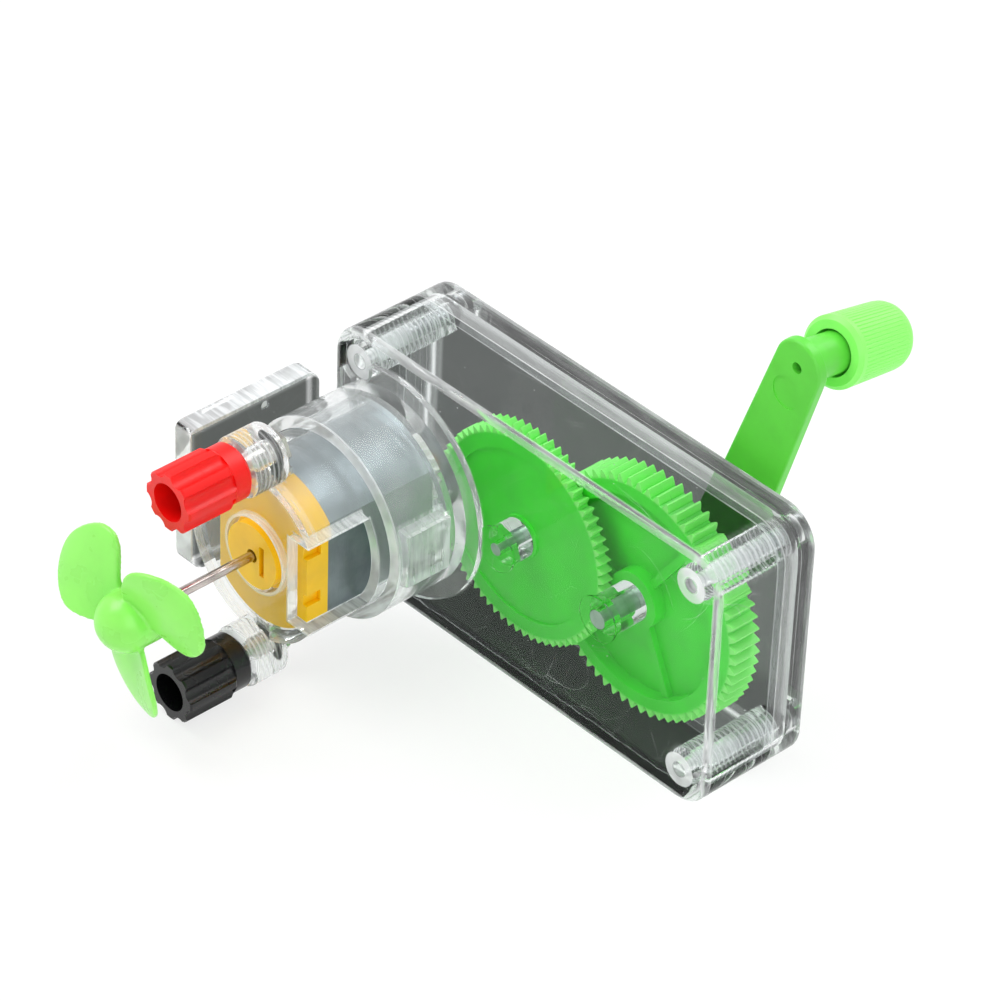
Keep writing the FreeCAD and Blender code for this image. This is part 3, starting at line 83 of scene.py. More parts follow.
def srgb(red: int, green: int, blue: int) -> Colour:
    """A colour as the linear values that a shader takes.

    Args:
        red: the red level, from 0 to 255.
        green: the green level, from 0 to 255.
        blue: the blue level, from 0 to 255.

    Returns:
        The linear colour, with an alpha of 1.
    """
    levels = []
    for level in (red, green, blue):
        share = level / 255.0
        levels.append(share / 12.92 if share <= 0.04045 else ((share + 0.055) / 1.055) ** 2.4)
    return (levels[0], levels[1], levels[2], 1.0)


def scaled(colour: Colour, share: float) -> Colour:
    """A colour made darker or lighter by a share."""
    return (min(colour[0] * share, 1.0), min(colour[1] * share, 1.0),
            min(colour[2] * share, 1.0), 1.0)


# ---- node trees ---------------------------------------------------------------------------------
class Graph:
    """A node tree with short calls for adding and joining nodes."""

    def __init__(self, tree: bpy.types.NodeTree) -> None:
        """Start from an empty tree.

        Args:
            tree: the node tree to fill.
        """
        self.tree = tree
        self.tree.nodes.clear()

    @classmethod
    def of_material(cls, name: str) -> tuple[Graph, bpy.types.Material]:
        """A new material and the graph that fills it.

        Args:
            name: the material's name.

        Returns:
            The graph and its material.
        """
        material = bpy.data.materials.new(name)
        material.use_nodes = True
        return cls(material.node_tree), material

    def add(self, kind: str, settings: dict | None = None, **inputs: object) -> bpy.types.Node:
        """Add a node.

        Args:
            kind: the node's type after "ShaderNode".
            settings: values of the node's own properties.
            **inputs: a value or socket for each named input, with _ for a space.

        Returns:
            The new node.
        """
        node = self.tree.nodes.new("ShaderNode" + kind)
        for key, value in (settings or {}).items():
            setattr(node, key, value)
        for key, value in inputs.items():
            self.feed(node.inputs[key.replace("_", " ")], value)
        return node

    def feed(self, socket: bpy.types.NodeSocket, value: object) -> None:
        """Link a socket to another one, or set its value.

        Args:
            socket: the input to feed.
            value: another node's output, or the value to set.
        """
        if isinstance(value, bpy.types.NodeSocket):
            self.tree.links.new(value, socket)
        else:
            socket.default_value = value

    def math(self, operation: str, first: object, second: object = 0.0) -> bpy.types.NodeSocket:
        """A sum of two values or sockets.

        Args:
            operation: the name of a Math node's operation.
            first: the first value or socket.
            second: the second one, where the operation takes two.

        Returns:
            The result's socket.
        """
        node = self.add("Math", {"operation": operation})
        self.feed(node.inputs[0], first)
        self.feed(node.inputs[1], second)
        return node.outputs[0]

    def ramp(self, value: object, low: float, high: float, start: float = 0.0,
             end: float = 1.0) -> bpy.types.NodeSocket:
        """A smooth change from one value to another.

        Args:
            value: the value or socket that it reads.
            low: the input at which the change begins.
            high: the input at which the change ends.
            start: the result below low.
            end: the result above high.

        Returns:
            The result's socket.
        """
        node = self.add("MapRange", {"interpolation_type": "SMOOTHSTEP"}, Value=value, From_Min=low,
                        From_Max=high, To_Min=start, To_Max=end)
        return node.outputs[0]

    def inside(self, value: object, low: float, high: float, blur: float) -> bpy.types.NodeSocket:
        """A soft test of whether a value lies within two limits.

        Args:
            value: the value or socket that it reads.
            low: the lower limit.
            high: the upper limit.
            blur: half the width of the soft change at each limit.

        Returns:
            1 between the limits and 0 beyond them.
        """
        rising = self.ramp(value, low - blur, low + blur)
        falling = self.ramp(value, high - blur, high + blur, 1.0, 0.0)
        return self.math("MULTIPLY", rising, falling)

    def product(self, *factors: object) -> bpy.types.NodeSocket:
        """The product of several values or sockets.

        Args:
            *factors: the values or sockets to multiply.

        Returns:
            The product's socket.
        """
        result = factors[0]
        for factor in factors[1:]:
            result = self.math("MULTIPLY", result, factor)
        return result

    def most(self, *values: object) -> bpy.types.NodeSocket:
        """The largest of several values or sockets.

        Args:
            *values: the values or sockets to compare.

        Returns:
            The largest one's socket.
        """
        result = values[0]
        for value in values[1:]:
            result = self.math("MAXIMUM", result, value)
        return result

    def blend(self, factor: object, first: object, second: object) -> bpy.types.NodeSocket:
        """A colour between two others.

        Args:
            factor: 0 for the first colour and 1 for the second.
            first: the first colour or socket.
            second: the second colour or socket.

        Returns:
            The mixed colour's socket.
        """
        node = self.add("Mix", {"data_type": "RGBA"})
        self.feed(node.inputs[0], factor)
        self.feed(node.inputs[6], first)
        self.feed(node.inputs[7], second)
        return node.outputs[2]

    def place(self) -> bpy.types.NodeSocket:
        """The piece's own coordinates, in metres."""
        return self.add("TexCoord").outputs["Object"]

    def axes(self, place: bpy.types.NodeSocket) -> Axes:
        """The x, y and z of a place."""
        return tuple(self.add("SeparateXYZ", Vector=place).outputs)

    def noise(self, place: bpy.types.NodeSocket, size: float, detail: float = 2.0,
              stretch: tuple[float, float, float] = (1.0, 1.0, 1.0)) -> bpy.types.NodeSocket:
        """Soft noise.

        Args:
            place: the coordinates that it reads.
            size: the size of its spots, in millimetres.
            detail: how much finer structure it has.
            stretch: how many times finer it is along each axis.

        Returns:
            The noise, about 0.3 to 0.7.
        """
        mapping = self.add("Mapping", Vector=place, Scale=stretch)
        return self.add("TexNoise", Vector=mapping.outputs[0], Scale=1.0 / (size * MM),
                        Detail=detail, Roughness=0.55).outputs[0]

    def specks(self, place: bpy.types.NodeSocket, spacing: float, radius: float,
               share: float) -> bpy.types.NodeSocket:
        """Small round specks.

        Args:
            place: the coordinates that they read.
            spacing: the mean distance between their places, in millimetres.
            radius: their radius as a share of the spacing.
            share: how many of the places have one, from 0 to 1.

        Returns:
            1 in a speck and 0 outside.
        """
        cells = self.add("TexVoronoi", Vector=place, Scale=1.0 / (spacing * MM))
        lucky = self.add("SeparateColor", Color=cells.outputs["Color"]).outputs[0]
        return self.math("MULTIPLY",
                         self.ramp(cells.outputs["Distance"], radius * 0.6, radius, 1.0, 0.0),
                         self.math("LESS_THAN", lucky, share))

    def scratches(self, place: bpy.types.NodeSocket, spacing: float,
                  width: float) -> bpy.types.NodeSocket:
        """Fine curved scratches, broken up along their length.

        Args:
            place: the coordinates that they read.
            spacing: the mean distance between them, in millimetres.
            width: their width as a share of the spacing.

        Returns:
            1 on a scratch and 0 off it.
        """
        wander = self.add("TexNoise", Vector=place, Scale=0.5 / (spacing * MM),
                          Detail=1.0).outputs["Color"]
        bent = self.add("VectorMath", {"operation": "MULTIPLY_ADD"})
        self.feed(bent.inputs[0], wander)
        self.feed(bent.inputs[1], mm(spacing, spacing, spacing) * 1.6)
        self.feed(bent.inputs[2], place)
        cells = self.add("TexVoronoi", {"feature": "DISTANCE_TO_EDGE"}, Vector=bent.outputs[0],
                         Scale=1.0 / (spacing * MM))
        lines = self.ramp(cells.outputs["Distance"], width * 0.4, width, 1.0, 0.0)
        gaps = self.ramp(self.noise(place, spacing * 0.7), 0.5, 0.58)
        return self.math("MULTIPLY", lines, gaps)

    def bump(self, height: object, depth: float) -> bpy.types.NodeSocket:
        """A normal from a height of 0 to 1, where 1 stands for a depth in millimetres."""
        return self.add("Bump", Height=height, Distance=depth * MM, Strength=1.0).outputs[0]

    def seen(self) -> bpy.types.NodeSocket:
        """A test of whether a ray shows what it meets.

        Returns:
            1 for a ray from the camera, from a reflection or through glass, and 0 for others.
        """
        path = self.add("LightPath")
        return self.most(path.outputs["Is Camera Ray"], path.outputs["Is Glossy Ray"],
                         path.outputs["Is Transmission Ray"])

    def surface(self, shader: bpy.types.NodeSocket) -> None:
        """Show a shader on the surface."""
        output = self.add("OutputMaterial")
        self.feed(output.inputs["Surface"], shader)


# ---- finishes -----------------------------------------------------------------------------------
@dataclass(frozen=True)
class Moulded:
    """Coloured moulded plastic: faint mottling, fine grain, small marks and a painted sheen of
    paler colour on given zones.
    """

    name: str
    colour: Colour
    shade: float = 0.82
    gloss: float = 0.32
    glow: float = 0.1
    grain: float = 0.004
    marks: float = 0.08
    # The zones and the paler colour of a painted sheen, standing in for glossy light.
    painted_sheen_zones: tuple[Zone, ...] = ()
    painted_sheen_colour: Colour = srgb(158, 248, 136)

    def material(self) -> bpy.types.Material:
        """Make the material.

        Returns:
            The finished material.
        """
        graph, material = Graph.of_material(self.name)
        place = graph.place()
        cloud = graph.noise(place, 6.0, 3.0)
        fine = graph.noise(place, 0.25, 2.0)
        marks = graph.scratches(place, 7.0, 0.006)
        base = graph.blend(graph.ramp(cloud, 0.35, 0.65), scaled(self.colour, self.shade),
                           self.colour)
        base = graph.blend(graph.math("MULTIPLY", marks, self.marks), base,
                           scaled(self.colour, 1.5))
        # Painted sheen: the given zones get the paler colour, standing in for glossy light from
        # above.
        for zone in self.painted_sheen_zones:
            base = graph.blend(zone.mask(graph, graph.axes(place)), base, self.painted_sheen_colour)
        rough = graph.math("ADD", graph.ramp(cloud, 0.3, 0.7, self.gloss - 0.05, self.gloss + 0.06),
                           graph.math("MULTIPLY", marks, 0.2))
        height = graph.math("SUBTRACT", fine, graph.math("MULTIPLY", marks, 0.15))
        shader = graph.add("BsdfPrincipled", {"subsurface_method": "RANDOM_WALK"}, Base_Color=base,
                           Roughness=rough, IOR=PLASTIC_BEND, Subsurface_Weight=self.glow,
                           Subsurface_Radius=GLOW_REACH, Subsurface_Scale=GLOW_DEPTH * MM,
                           Normal=graph.bump(height, self.grain))
        graph.surface(shader.outputs[0])
        return material


class Lay(Enum):
    """Which way a metal's fine lines run."""

    DRAWN = (1.0, 30.0, 1.0)
    TURNED = (1.0, 60.0, 1.0)
    LENGTHWISE = (24.0, 1.0, 24.0)


@dataclass(frozen=True)
class Metal:
    """Bare or plated metal with fine lines, faint stains and tiny pits."""

    name: str
    colour: Colour
    gloss: float = 0.28
    lay: Lay = Lay.DRAWN
    stain: float = 0.75
    relief: float = 0.003

    def material(self) -> bpy.types.Material:
        """Make the material.

        Returns:
            The finished material.
        """
        graph, material = Graph.of_material(self.name)
        place = graph.place()
        lines = graph.noise(place, 1.6, 3.0, self.lay.value)
        cloud = graph.noise(place, 3.5, 3.0)
        pits = graph.specks(place, 0.9, 0.12, 0.35)
        base = graph.blend(graph.ramp(cloud, 0.35, 0.7), scaled(self.colour, self.stain),
                           self.colour)
        base = graph.blend(graph.math("MULTIPLY", pits, 0.5), base, scaled(self.colour, 0.35))
        rough = graph.math("ADD", graph.ramp(lines, 0.3, 0.7, self.gloss - 0.07, self.gloss + 0.09),
                           graph.math("MULTIPLY", pits, 0.25))
        height = graph.math("SUBTRACT", lines, pits)
        shader = graph.add("BsdfPrincipled", Base_Color=base, Metallic=1.0, Roughness=rough,
                           Normal=graph.bump(height, self.relief))
        graph.surface(shader.outputs[0])
        return material


@dataclass(frozen=True)
class Stacked:
    """Thin plates or wires packed side by side: a body colour with dark lines between them."""

    name: str
    colour: Colour
    gap_colour: Colour
    pitch: float
    along: tuple[float, float, float]
    metallic: float
    gloss: float

    def material(self) -> bpy.types.Material:
        """Make the material.

        Returns:
            The finished material.
        """
        graph, material = Graph.of_material(self.name)
        place = graph.place()
        turned = graph.add("VectorMath", {"operation": "DOT_PRODUCT"}, Vector=place)
        graph.feed(turned.inputs[1], Vector(self.along))
        phase = graph.math("MULTIPLY", turned.outputs["Value"], 2.0 * math.pi / (self.pitch * MM))
        wave = graph.ramp(graph.math("SINE", phase), -1.0, 0.2)
        cloud = graph.noise(place, 1.4, 3.0)
        body = graph.blend(graph.ramp(cloud, 0.35, 0.65), scaled(self.colour, 0.75), self.colour)
        rough = graph.ramp(cloud, 0.3, 0.7, self.gloss - 0.05, self.gloss + 0.08)
        shader = graph.add("BsdfPrincipled", Base_Color=graph.blend(wave, self.gap_colour, body),
                           Metallic=self.metallic, Roughness=rough,
                           Normal=graph.bump(wave, self.pitch * 0.3))
        graph.surface(shader.outputs[0])
        return material


@dataclass(frozen=True)
class Sintered:
    """Pressed and fired ceramic: dark, dull and finely granular."""

    name: str
    colour: Colour

    def material(self) -> bpy.types.Material:
        """Make the material.

        Returns:
            The finished material.
        """
        graph, material = Graph.of_material(self.name)
        place = graph.place()
        grains = graph.noise(place, 0.15, 4.0)
        base = graph.blend(graph.ramp(grains, 0.4, 0.62), scaled(self.colour, 0.6),
                           scaled(self.colour, 1.4))
        rough = graph.ramp(grains, 0.3, 0.7, 0.55, 0.75)
        shader = graph.add("BsdfPrincipled", Base_Color=base, Roughness=rough,
                           Normal=graph.bump(grains, 0.01))
        graph.surface(shader.outputs[0])
        return material


@dataclass(frozen=True)
class Block:
    """A box in millimetres that marks where a finish changes, and may fade to its left and top."""

    x: Range
    y: Range
    z: Range
    blur: float = 0.4
    strength: float = 1.0
    fade: float = 0.0

    def mask(self, graph: Graph, axes: Axes) -> bpy.types.NodeSocket:
        """How strongly the box marks a place.

        Args:
            graph: the graph that the nodes go in.
            axes: the x, y and z of the surface.

        Returns:
            The strength inside the box and 0 outside.
        """
        soft = self.blur + self.fade
        result: object = self.strength
        ends = ((soft, self.blur), (self.blur, self.blur), (self.blur, soft))
        for axis, (low, high), (start, end) in zip(axes, (self.x, self.y, self.z), ends):
            rising = graph.ramp(axis, (low - start) * MM, (low + start) * MM)
            falling = graph.ramp(axis, (high - end) * MM, (high + end) * MM, 1.0, 0.0)
            result = graph.product(result, rising, falling)
        return result


@dataclass(frozen=True)
class Tube:
    """A round tube along the shafts' direction that marks where a finish changes."""

    x: float
    z: float
    radii: Range
    y: Range
    blur: float = 0.2
    strength: float = 1.0
    # The pitch spaces painted glint rings, standing in for threads glinting through the plastic.
    pitch: float = 0.0

    def mask(self, graph: Graph, axes: Axes) -> bpy.types.NodeSocket:
        """How strongly the tube marks a place.

        Args:
            graph: the graph that the nodes go in.
            axes: the x, y and z of the surface.

        Returns:
            The strength inside the tube's wall and 0 outside.
        """
        across = graph.math("SUBTRACT", axes[0], self.x * MM)
        above = graph.math("SUBTRACT", axes[2], self.z * MM)
        squares = graph.math("ADD", graph.product(across, across), graph.product(above, above))
        radius = graph.math("SQRT", squares)
        blur = self.blur * MM
        glint_rings: object = 1.0
        # Painted glints: pale rings at the given pitch stand in for thread glints seen through the
        # plastic.
        if self.pitch:
            turns = graph.math("MULTIPLY", axes[1], 2.0 * math.pi / (self.pitch * MM))
            glint_rings = graph.ramp(graph.math("SINE", turns), -0.2, 0.8, 0.35, 1.0)
        across_wall = graph.inside(radius, self.radii[0] * MM, self.radii[1] * MM, blur)
        along = graph.inside(axes[1], self.y[0] * MM, self.y[1] * MM, blur)
        return graph.product(self.strength, glint_rings, across_wall, along)


@dataclass(frozen=True)
class Rims:
    """The zone along all twelve edges of a box, where two of its walls meet."""

    half: tuple[float, float, float]
    centre_z: float
    width: float
    blur: float = 0.25
    strength: float = 1.0

    def mask(self, graph: Graph, axes: Axes) -> bpy.types.NodeSocket:
        """How strongly the zone marks a place.

        Args:
            graph: the graph that the nodes go in.
            axes: the x, y and z of the surface.

        Returns:
            The strength near an edge of the box and 0 elsewhere.
        """
        level = graph.math("SUBTRACT", axes[2], self.centre_z * MM)
        total: object = 0.0
        for axis, half in zip((axes[0], axes[1], level), self.half):
            start = half - self.width
            near = graph.inside(graph.math("ABSOLUTE", axis), start * MM,
                                (half + 2.0 * self.blur) * MM, self.blur * MM)
            total = graph.math("ADD", near, total)
        return graph.product(self.strength, graph.ramp(total, 1.2, 1.9))


@dataclass(frozen=True)
class Clear:
    """Clear moulded plastic: a painted dark shade on its large walls, a painted pale glare on its
    rims and bosses, dust and fine scratches.
    """

    name: str
    tint: Colour = srgb(246, 248, 248)
    # A dark colour painted on the large walls, standing in for the dark backdrop seen through the
    # clear plastic.
    painted_shade: Colour = srgb(20, 30, 22)
    painted_shade_walls: tuple[Zone, ...] = ()
    # The white below serves for real dust and scratches and for a painted pale glare; the zones
    # after it are where the glare is painted.
    dust_and_glare_white: Colour = srgb(240, 242, 244)
    painted_glare: tuple[Zone, ...] = ()
    joints: tuple[float, ...] = ()
    bend: float = 1.21
    shine: float = 0.12
    ripple: float = 0.02
    ripple_size: float = 5.0
    dust: float = 0.5

    def material(self) -> bpy.types.Material:
        """Make the material.

        Returns:
            The finished material.
        """
        graph, material = Graph.of_material(self.name)
        place = graph.place()
        axes = graph.axes(place)
        cloud = graph.noise(place, 9.0, 2.0)
        dust = graph.math("MULTIPLY", graph.specks(place, 2.6, 0.045, 0.5), self.dust)
        scratch = graph.math("MULTIPLY", graph.scratches(place, 14.0, 0.003), self.dust * 0.3)
        base = graph.blend(graph.ramp(cloud, 0.3, 0.7), scaled(self.tint, 0.96), self.tint)
        if self.painted_shade_walls:
            # Painted shade: the listed walls get the dark colour in place of the dark backdrop seen
            # through them.
            mask = graph.most(*(wall.mask(graph, axes) for wall in self.painted_shade_walls))
            base = graph.blend(mask, base, self.painted_shade)
        dust_and_glare = graph.most(dust, scratch)
        # Painted glare: pale streaks on the listed rims and bosses stand in for light reflected and
        # refracted in the clear edges.
        if self.painted_glare:
            glare_streaks = graph.ramp(graph.noise(place, 0.8, 2.0, (0.12, 1.0, 0.12)), 0.35, 0.65,
                                 0.62, 1.0)
            dust_and_glare = graph.most(dust_and_glare, graph.product(
                graph.most(*(zone.mask(graph, axes) for zone in self.painted_glare)), glare_streaks))
        # Dust and scratches are real; the rest of this white is painted glare.
        base = graph.blend(dust_and_glare, base, self.dust_and_glare_white)
        wave = graph.noise(place, self.ripple_size, 1.0)
        normal = graph.bump(wave, self.ripple)
        glass = graph.add("BsdfPrincipled", Base_Color=base, IOR=self.bend,
                          Specular_Tint=(self.shine, self.shine, self.shine, 1.0),
                          Roughness=graph.ramp(cloud, 0.3, 0.7, 0.0, 0.02),
                          Transmission_Weight=graph.math("SUBTRACT", 1.0, dust_and_glare), Normal=normal)
        path = graph.add("LightPath")
        passing = graph.most(path.outputs["Is Shadow Ray"], path.outputs["Is Diffuse Ray"],
                             *(graph.inside(axes[1], (joint - 0.02) * MM, (joint + 0.02) * MM,
                                            0.005 * MM) for joint in self.joints))
        through = graph.add("BsdfTransparent", Color=srgb(251, 252, 252))
        mixed = graph.add("MixShader")
        graph.feed(mixed.inputs[0], passing)
        graph.feed(mixed.inputs[1], glass.outputs[0])
        graph.feed(mixed.inputs[2], through.outputs[0])
        graph.surface(mixed.outputs[0])
        return material


Zone = Block | Tube | Rims
Finish = Moulded | Metal | Stacked | Sintered | Clear


# ---- modelling ----------------------------------------------------------------------------------
def deselect() -> None:
    """Leave nothing selected and nothing in edit mode."""
    if bpy.context.object is not None and bpy.context.object.mode != "OBJECT":
        bpy.ops.object.mode_set(mode="OBJECT")
    bpy.ops.object.select_all(action="DESELECT")


def pick(piece: bpy.types.Object) -> None:
    """Select one object alone and make it the active one.

    Args:
        piece: the object to select.
    """
    deselect()
    piece.select_set(True)
    bpy.context.view_layer.objects.active = piece


def settle(piece: bpy.types.Object) -> None:
    """Move a piece's place, turn and scale into its mesh."""
    pick(piece)
    bpy.ops.object.transform_apply(location=True, rotation=True, scale=True)


def outward(piece: bpy.types.Object, merge: float = 0.002) -> None:
    """Merge doubles and turn all faces outwards.

    Args:
        piece: the object to clean.
        merge: the distance under which points merge, in millimetres.
    """
    pick(piece)
    bpy.ops.object.mode_set(mode="EDIT")
    bpy.ops.mesh.select_all(action="SELECT")
    bpy.ops.mesh.remove_doubles(threshold=merge * MM)
    bpy.ops.mesh.normals_make_consistent(inside=False)
    bpy.ops.object.mode_set(mode="OBJECT")


def copied(node: bpy.types.Object, name: str) -> bpy.types.Object:
    """A free copy of a frame node, merged and cleared of its stored normals.

    Args:
        node: the frame's object.
        name: the name of the copy.

    Returns:
        The copy.
    """
    piece = bpy.data.objects.new(name, node.data.copy())
    piece.data.name = name
    bpy.context.scene.collection.objects.link(piece)
    pick(piece)
    if piece.data.has_custom_normals:
        bpy.ops.mesh.customdata_custom_splitnormals_clear()
    outward(piece)
    return piece


def applied(piece: bpy.types.Object, kind: str, **settings: object) -> None:
    """Add a modifier and apply it.

    Args:
        piece: the object that it shapes.
        kind: the modifier's type.
        **settings: values of the modifier's own properties.
    """
    pick(piece)
    modifier = piece.modifiers.new(kind.title(), kind)
    for key, value in settings.items():
        setattr(modifier, key, value)
    bpy.ops.object.modifier_apply(modifier=modifier.name)


def dress(piece: bpy.types.Object, material: bpy.types.Material) -> None:
    """Give all faces of a piece one material.

    Args:
        piece: the piece to dress.
        material: the material that it gets.
    """
    if not piece.material_slots:
        piece.data.materials.append(material)
    for holder in piece.material_slots:
        holder.material = material


# ---- sub-assemblies -----------------------------------------------------------------------------
@dataclass
class Assembly:
    """A sub-assembly whose frame nodes are dressed, and whose new pieces stand for some of them."""

    frame: dict

    def finish(self, finish: Finish, *nodes: str) -> None:
        """Dress frame nodes.

        Args:
            finish: what they are made of.
            *nodes: the nodes' names.
        """
        material = finish.material()
        for node in nodes:
            dress(self.frame["nodes"][node], material)
            LOG.info("dressed %s in %s", node, finish.name)

    def stand_for(self, piece: bpy.types.Object, node: str, body: str, slot: str) -> None:
        """Let a new piece replace a frame node.

        Args:
            piece: the new piece.
            node: the node that it replaces.
            body: the body that it moves with.
            slot: the name of a material slot; not used.
        """
        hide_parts(node)
        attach(piece, body)
        LOG.info("made %s for %s, riding on %s", piece.name, node, body)


@dataclass
class Gearbox(Assembly):
    """The clear shells and their screws."""

    half_length: float = 40.0
    height: float = 43.8
    half_depth: float = 9.6
    wall: float = 2.2
    split: float = 3.4
    boss_end: float = 6.6
    boss_x: float = 34.6
    boss_radius: float = 2.85
    hole_radius: float = 1.15
    margin: float = 3.2
    sleeve_x: float = -25.8
    sleeve: Range = (13.8, 16.3)
    sleeve_front: float = -23.8
    seat: Range = (4.6, 14.4)
    flange: Range = (15.8, 18.8)
    latch: tuple[Range, Range, Range] = ((-13.9, -9.3), (-22.2, -13.0), (16.6, 27.2))
    foot_x: Range = (-43.6, -39.9)
    foot_low: float = 9.5
    foot_back: float = -12.6
    foot_front: float = -37.1
    foot_top: float = 35.7

    def painted_shade_walls(self) -> tuple[Zone, ...]:
        """The large flat walls where a dark shade is painted, standing in for the dark backdrop
        seen through them.

        Returns:
            The floor, the back, the left end, the back's low and end parts, and the foot plate.
        """
        inner_x, top = self.half_length - self.margin, self.height - self.margin
        between = (-self.half_depth + 1.0, self.half_depth - 1.0)
        floor = Block((-inner_x, inner_x), between, (-1.0, self.wall + 0.3))
        back = Block((-inner_x, inner_x),
                     (self.half_depth - self.wall - 0.3, self.half_depth + 0.2),
                     (self.margin, top), strength=0.945)
        low = Block((4.0, inner_x), back.y, (self.margin, 20.0), fade=8.0)
        end = Block((31.0, inner_x), back.y, (self.margin, top - 6.0), fade=6.0)
        left = Block((-self.half_length - 1.0, -self.half_length + self.wall + 0.3),
                     between, (self.margin, top), strength=0.9)
        foot = Block((-44.0, -39.8), (self.foot_front + 0.6, self.foot_back - 0.4),
                     (self.foot_low + 1.1, self.foot_top - 0.9), strength=0.94)
        return floor, back, left, low, end, foot

    def painted_glare_zones(self) -> tuple[Zone, ...]:
        """The rims and bosses where a pale glare is painted, standing in for light seen in their
        clear edges.

        Returns:
            The box's rims and its shells' joint, then the bosses, the sleeve and the foot plate.
        """
        axis_z = self.height / 2.0
        glare_parts: list[Zone] = [
            Rims((self.half_length, self.half_depth, axis_z), axis_z, 1.1, strength=0.38),
            Block((-self.half_length - 0.2, self.half_length + 0.2),
                  (self.split - 0.12, self.split + 0.12), (-0.2, self.height + 0.2), 0.05, 0.55),
        ]
        low = self.half_length - self.boss_x
        for x in (-self.boss_x, self.boss_x):
            for z in (low, self.height - low):
                glare_parts.append(Tube(x, z, (self.hole_radius + 0.1, self.boss_radius - 0.1),
                                  (-self.half_depth - 0.3, -self.half_depth + 0.12), 0.12, 0.85))
                glare_parts.append(Tube(x, z, (self.hole_radius - 0.4, self.boss_radius + 0.3),
                                  (-self.half_depth + 1.5, self.half_depth - 1.0), 0.6, 0.5, 0.9))
                glare_parts.append(Tube(x, z, (0.0, self.hole_radius + 0.1),
                                  (-self.half_depth - 0.2, 0.0), 0.1, 0.5))
        inner, outer = self.sleeve
        span = (self.foot_front - 0.3, self.foot_back + 0.3)
        glare_parts += [
            Tube(self.sleeve_x, axis_z, (inner + 0.1, outer - 0.1),
                 (self.sleeve_front - 0.1, self.sleeve_front + 0.6), 0.2, 0.5),
            Tube(self.sleeve_x, axis_z, self.sleeve, (self.sleeve_front, -self.half_depth),
                 0.3, 0.1),
            Tube(self.sleeve_x, axis_z, self.seat, (-11.9, -7.2), 0.3, 0.16),
            Tube(self.sleeve_x, axis_z, self.flange, (-10.7, -9.3), 0.3, 0.3),
            Block(*self.latch, 0.2, 0.3),
            Block(self.foot_x, span, (self.foot_top - 0.25, self.foot_top + 0.3), 0.15, 0.8),
            Block(self.foot_x, (self.foot_front - 0.3, self.foot_front + 0.25),
                  (self.foot_low, self.foot_top + 0.3), 0.15, 0.75),
            Block((-40.4, self.foot_x[1]), span, (self.foot_top - 0.6, self.foot_top + 0.3),
                  0.1, 0.8),
            Block((-41.0, self.foot_x[1]), (-23.55, -22.45), (33.35, 34.45), 0.3, 1.8),
        ]
        return tuple(glare_parts)

    def cover_glare_zones(self) -> tuple[Zone, ...]:
        """The side walls of the back shell, where a pale glare is painted on their end faces.

        Returns:
            The top, bottom, right and left walls.
        """
        length, inner = self.half_length + 0.2, self.half_length - self.wall - 0.2
        depths, levels = (self.split, self.half_depth + 0.2), (-0.2, self.height + 0.2)
        walls = (((-length, length), (self.height - self.wall - 0.2, self.height + 0.2)),
                 ((-length, length), (-0.2, self.wall + 0.2)),
                 ((inner, length), levels), ((-length, -inner), levels))
        return tuple(Block(x, depths, z, 0.25, 0.17) for x, z in walls)

    def build(self) -> None:
        """Dress the shells and the screws."""
        # The first holds the walls with a painted dark shade, the second the rims and bosses with a
        # painted pale glare.
        walls, painted_glare = self.painted_shade_walls(), self.painted_glare_zones()
        joints = (self.split, self.boss_end)
        self.finish(Clear("clear_front", painted_shade_walls=walls, painted_glare=painted_glare, joints=joints),
                    "front_case")
        self.finish(Clear("clear_back", painted_shade_walls=walls[:5], painted_glare=painted_glare[:2] + self.cover_glare_zones(),
                          joints=joints), "back_cover")
        self.finish(Metal("screw_steel", srgb(196, 198, 200), 0.25, Lay.TURNED), "case_screws")


@dataclass
class GearTrain(Assembly):
    """The two large gears, the pinion and their shafts."""

    axis_z: float = 21.9
    idler_x: float = -4.3
    idler_rim: Range = (16.4, 18.4)
    crank_x: float = 17.0
    crank_rim: Range = (17.9, 20.0)
    depth: Range = (-10.0, 10.0)

    def build(self) -> None:
        """Dress the gears and the shafts."""
        gears = (("crank_gear", self.crank_x, self.crank_rim),
                 ("idler_gear", self.idler_x, self.idler_rim))
        for node, x, rim in gears:
            # The teeth band gets a painted sheen: a paler green standing in for glossy light on the
            # teeth.
            teeth_sheen = Tube(x, self.axis_z, rim, self.depth, 0.3, 0.6)
            self.finish(Moulded(f"{node}_plastic", srgb(56, 222, 40), 0.9, 0.4, 0.14,
                                painted_sheen_zones=(teeth_sheen,)), node)
        self.finish(Moulded("pinion_plastic", srgb(232, 232, 226), 0.9, 0.35, 0.1), "motor_pinion")
        self.finish(Metal("shaft_steel", srgb(164, 190, 172), 0.5, Lay.LENGTHWISE),
                    "crank_shaft", "idler_axle")


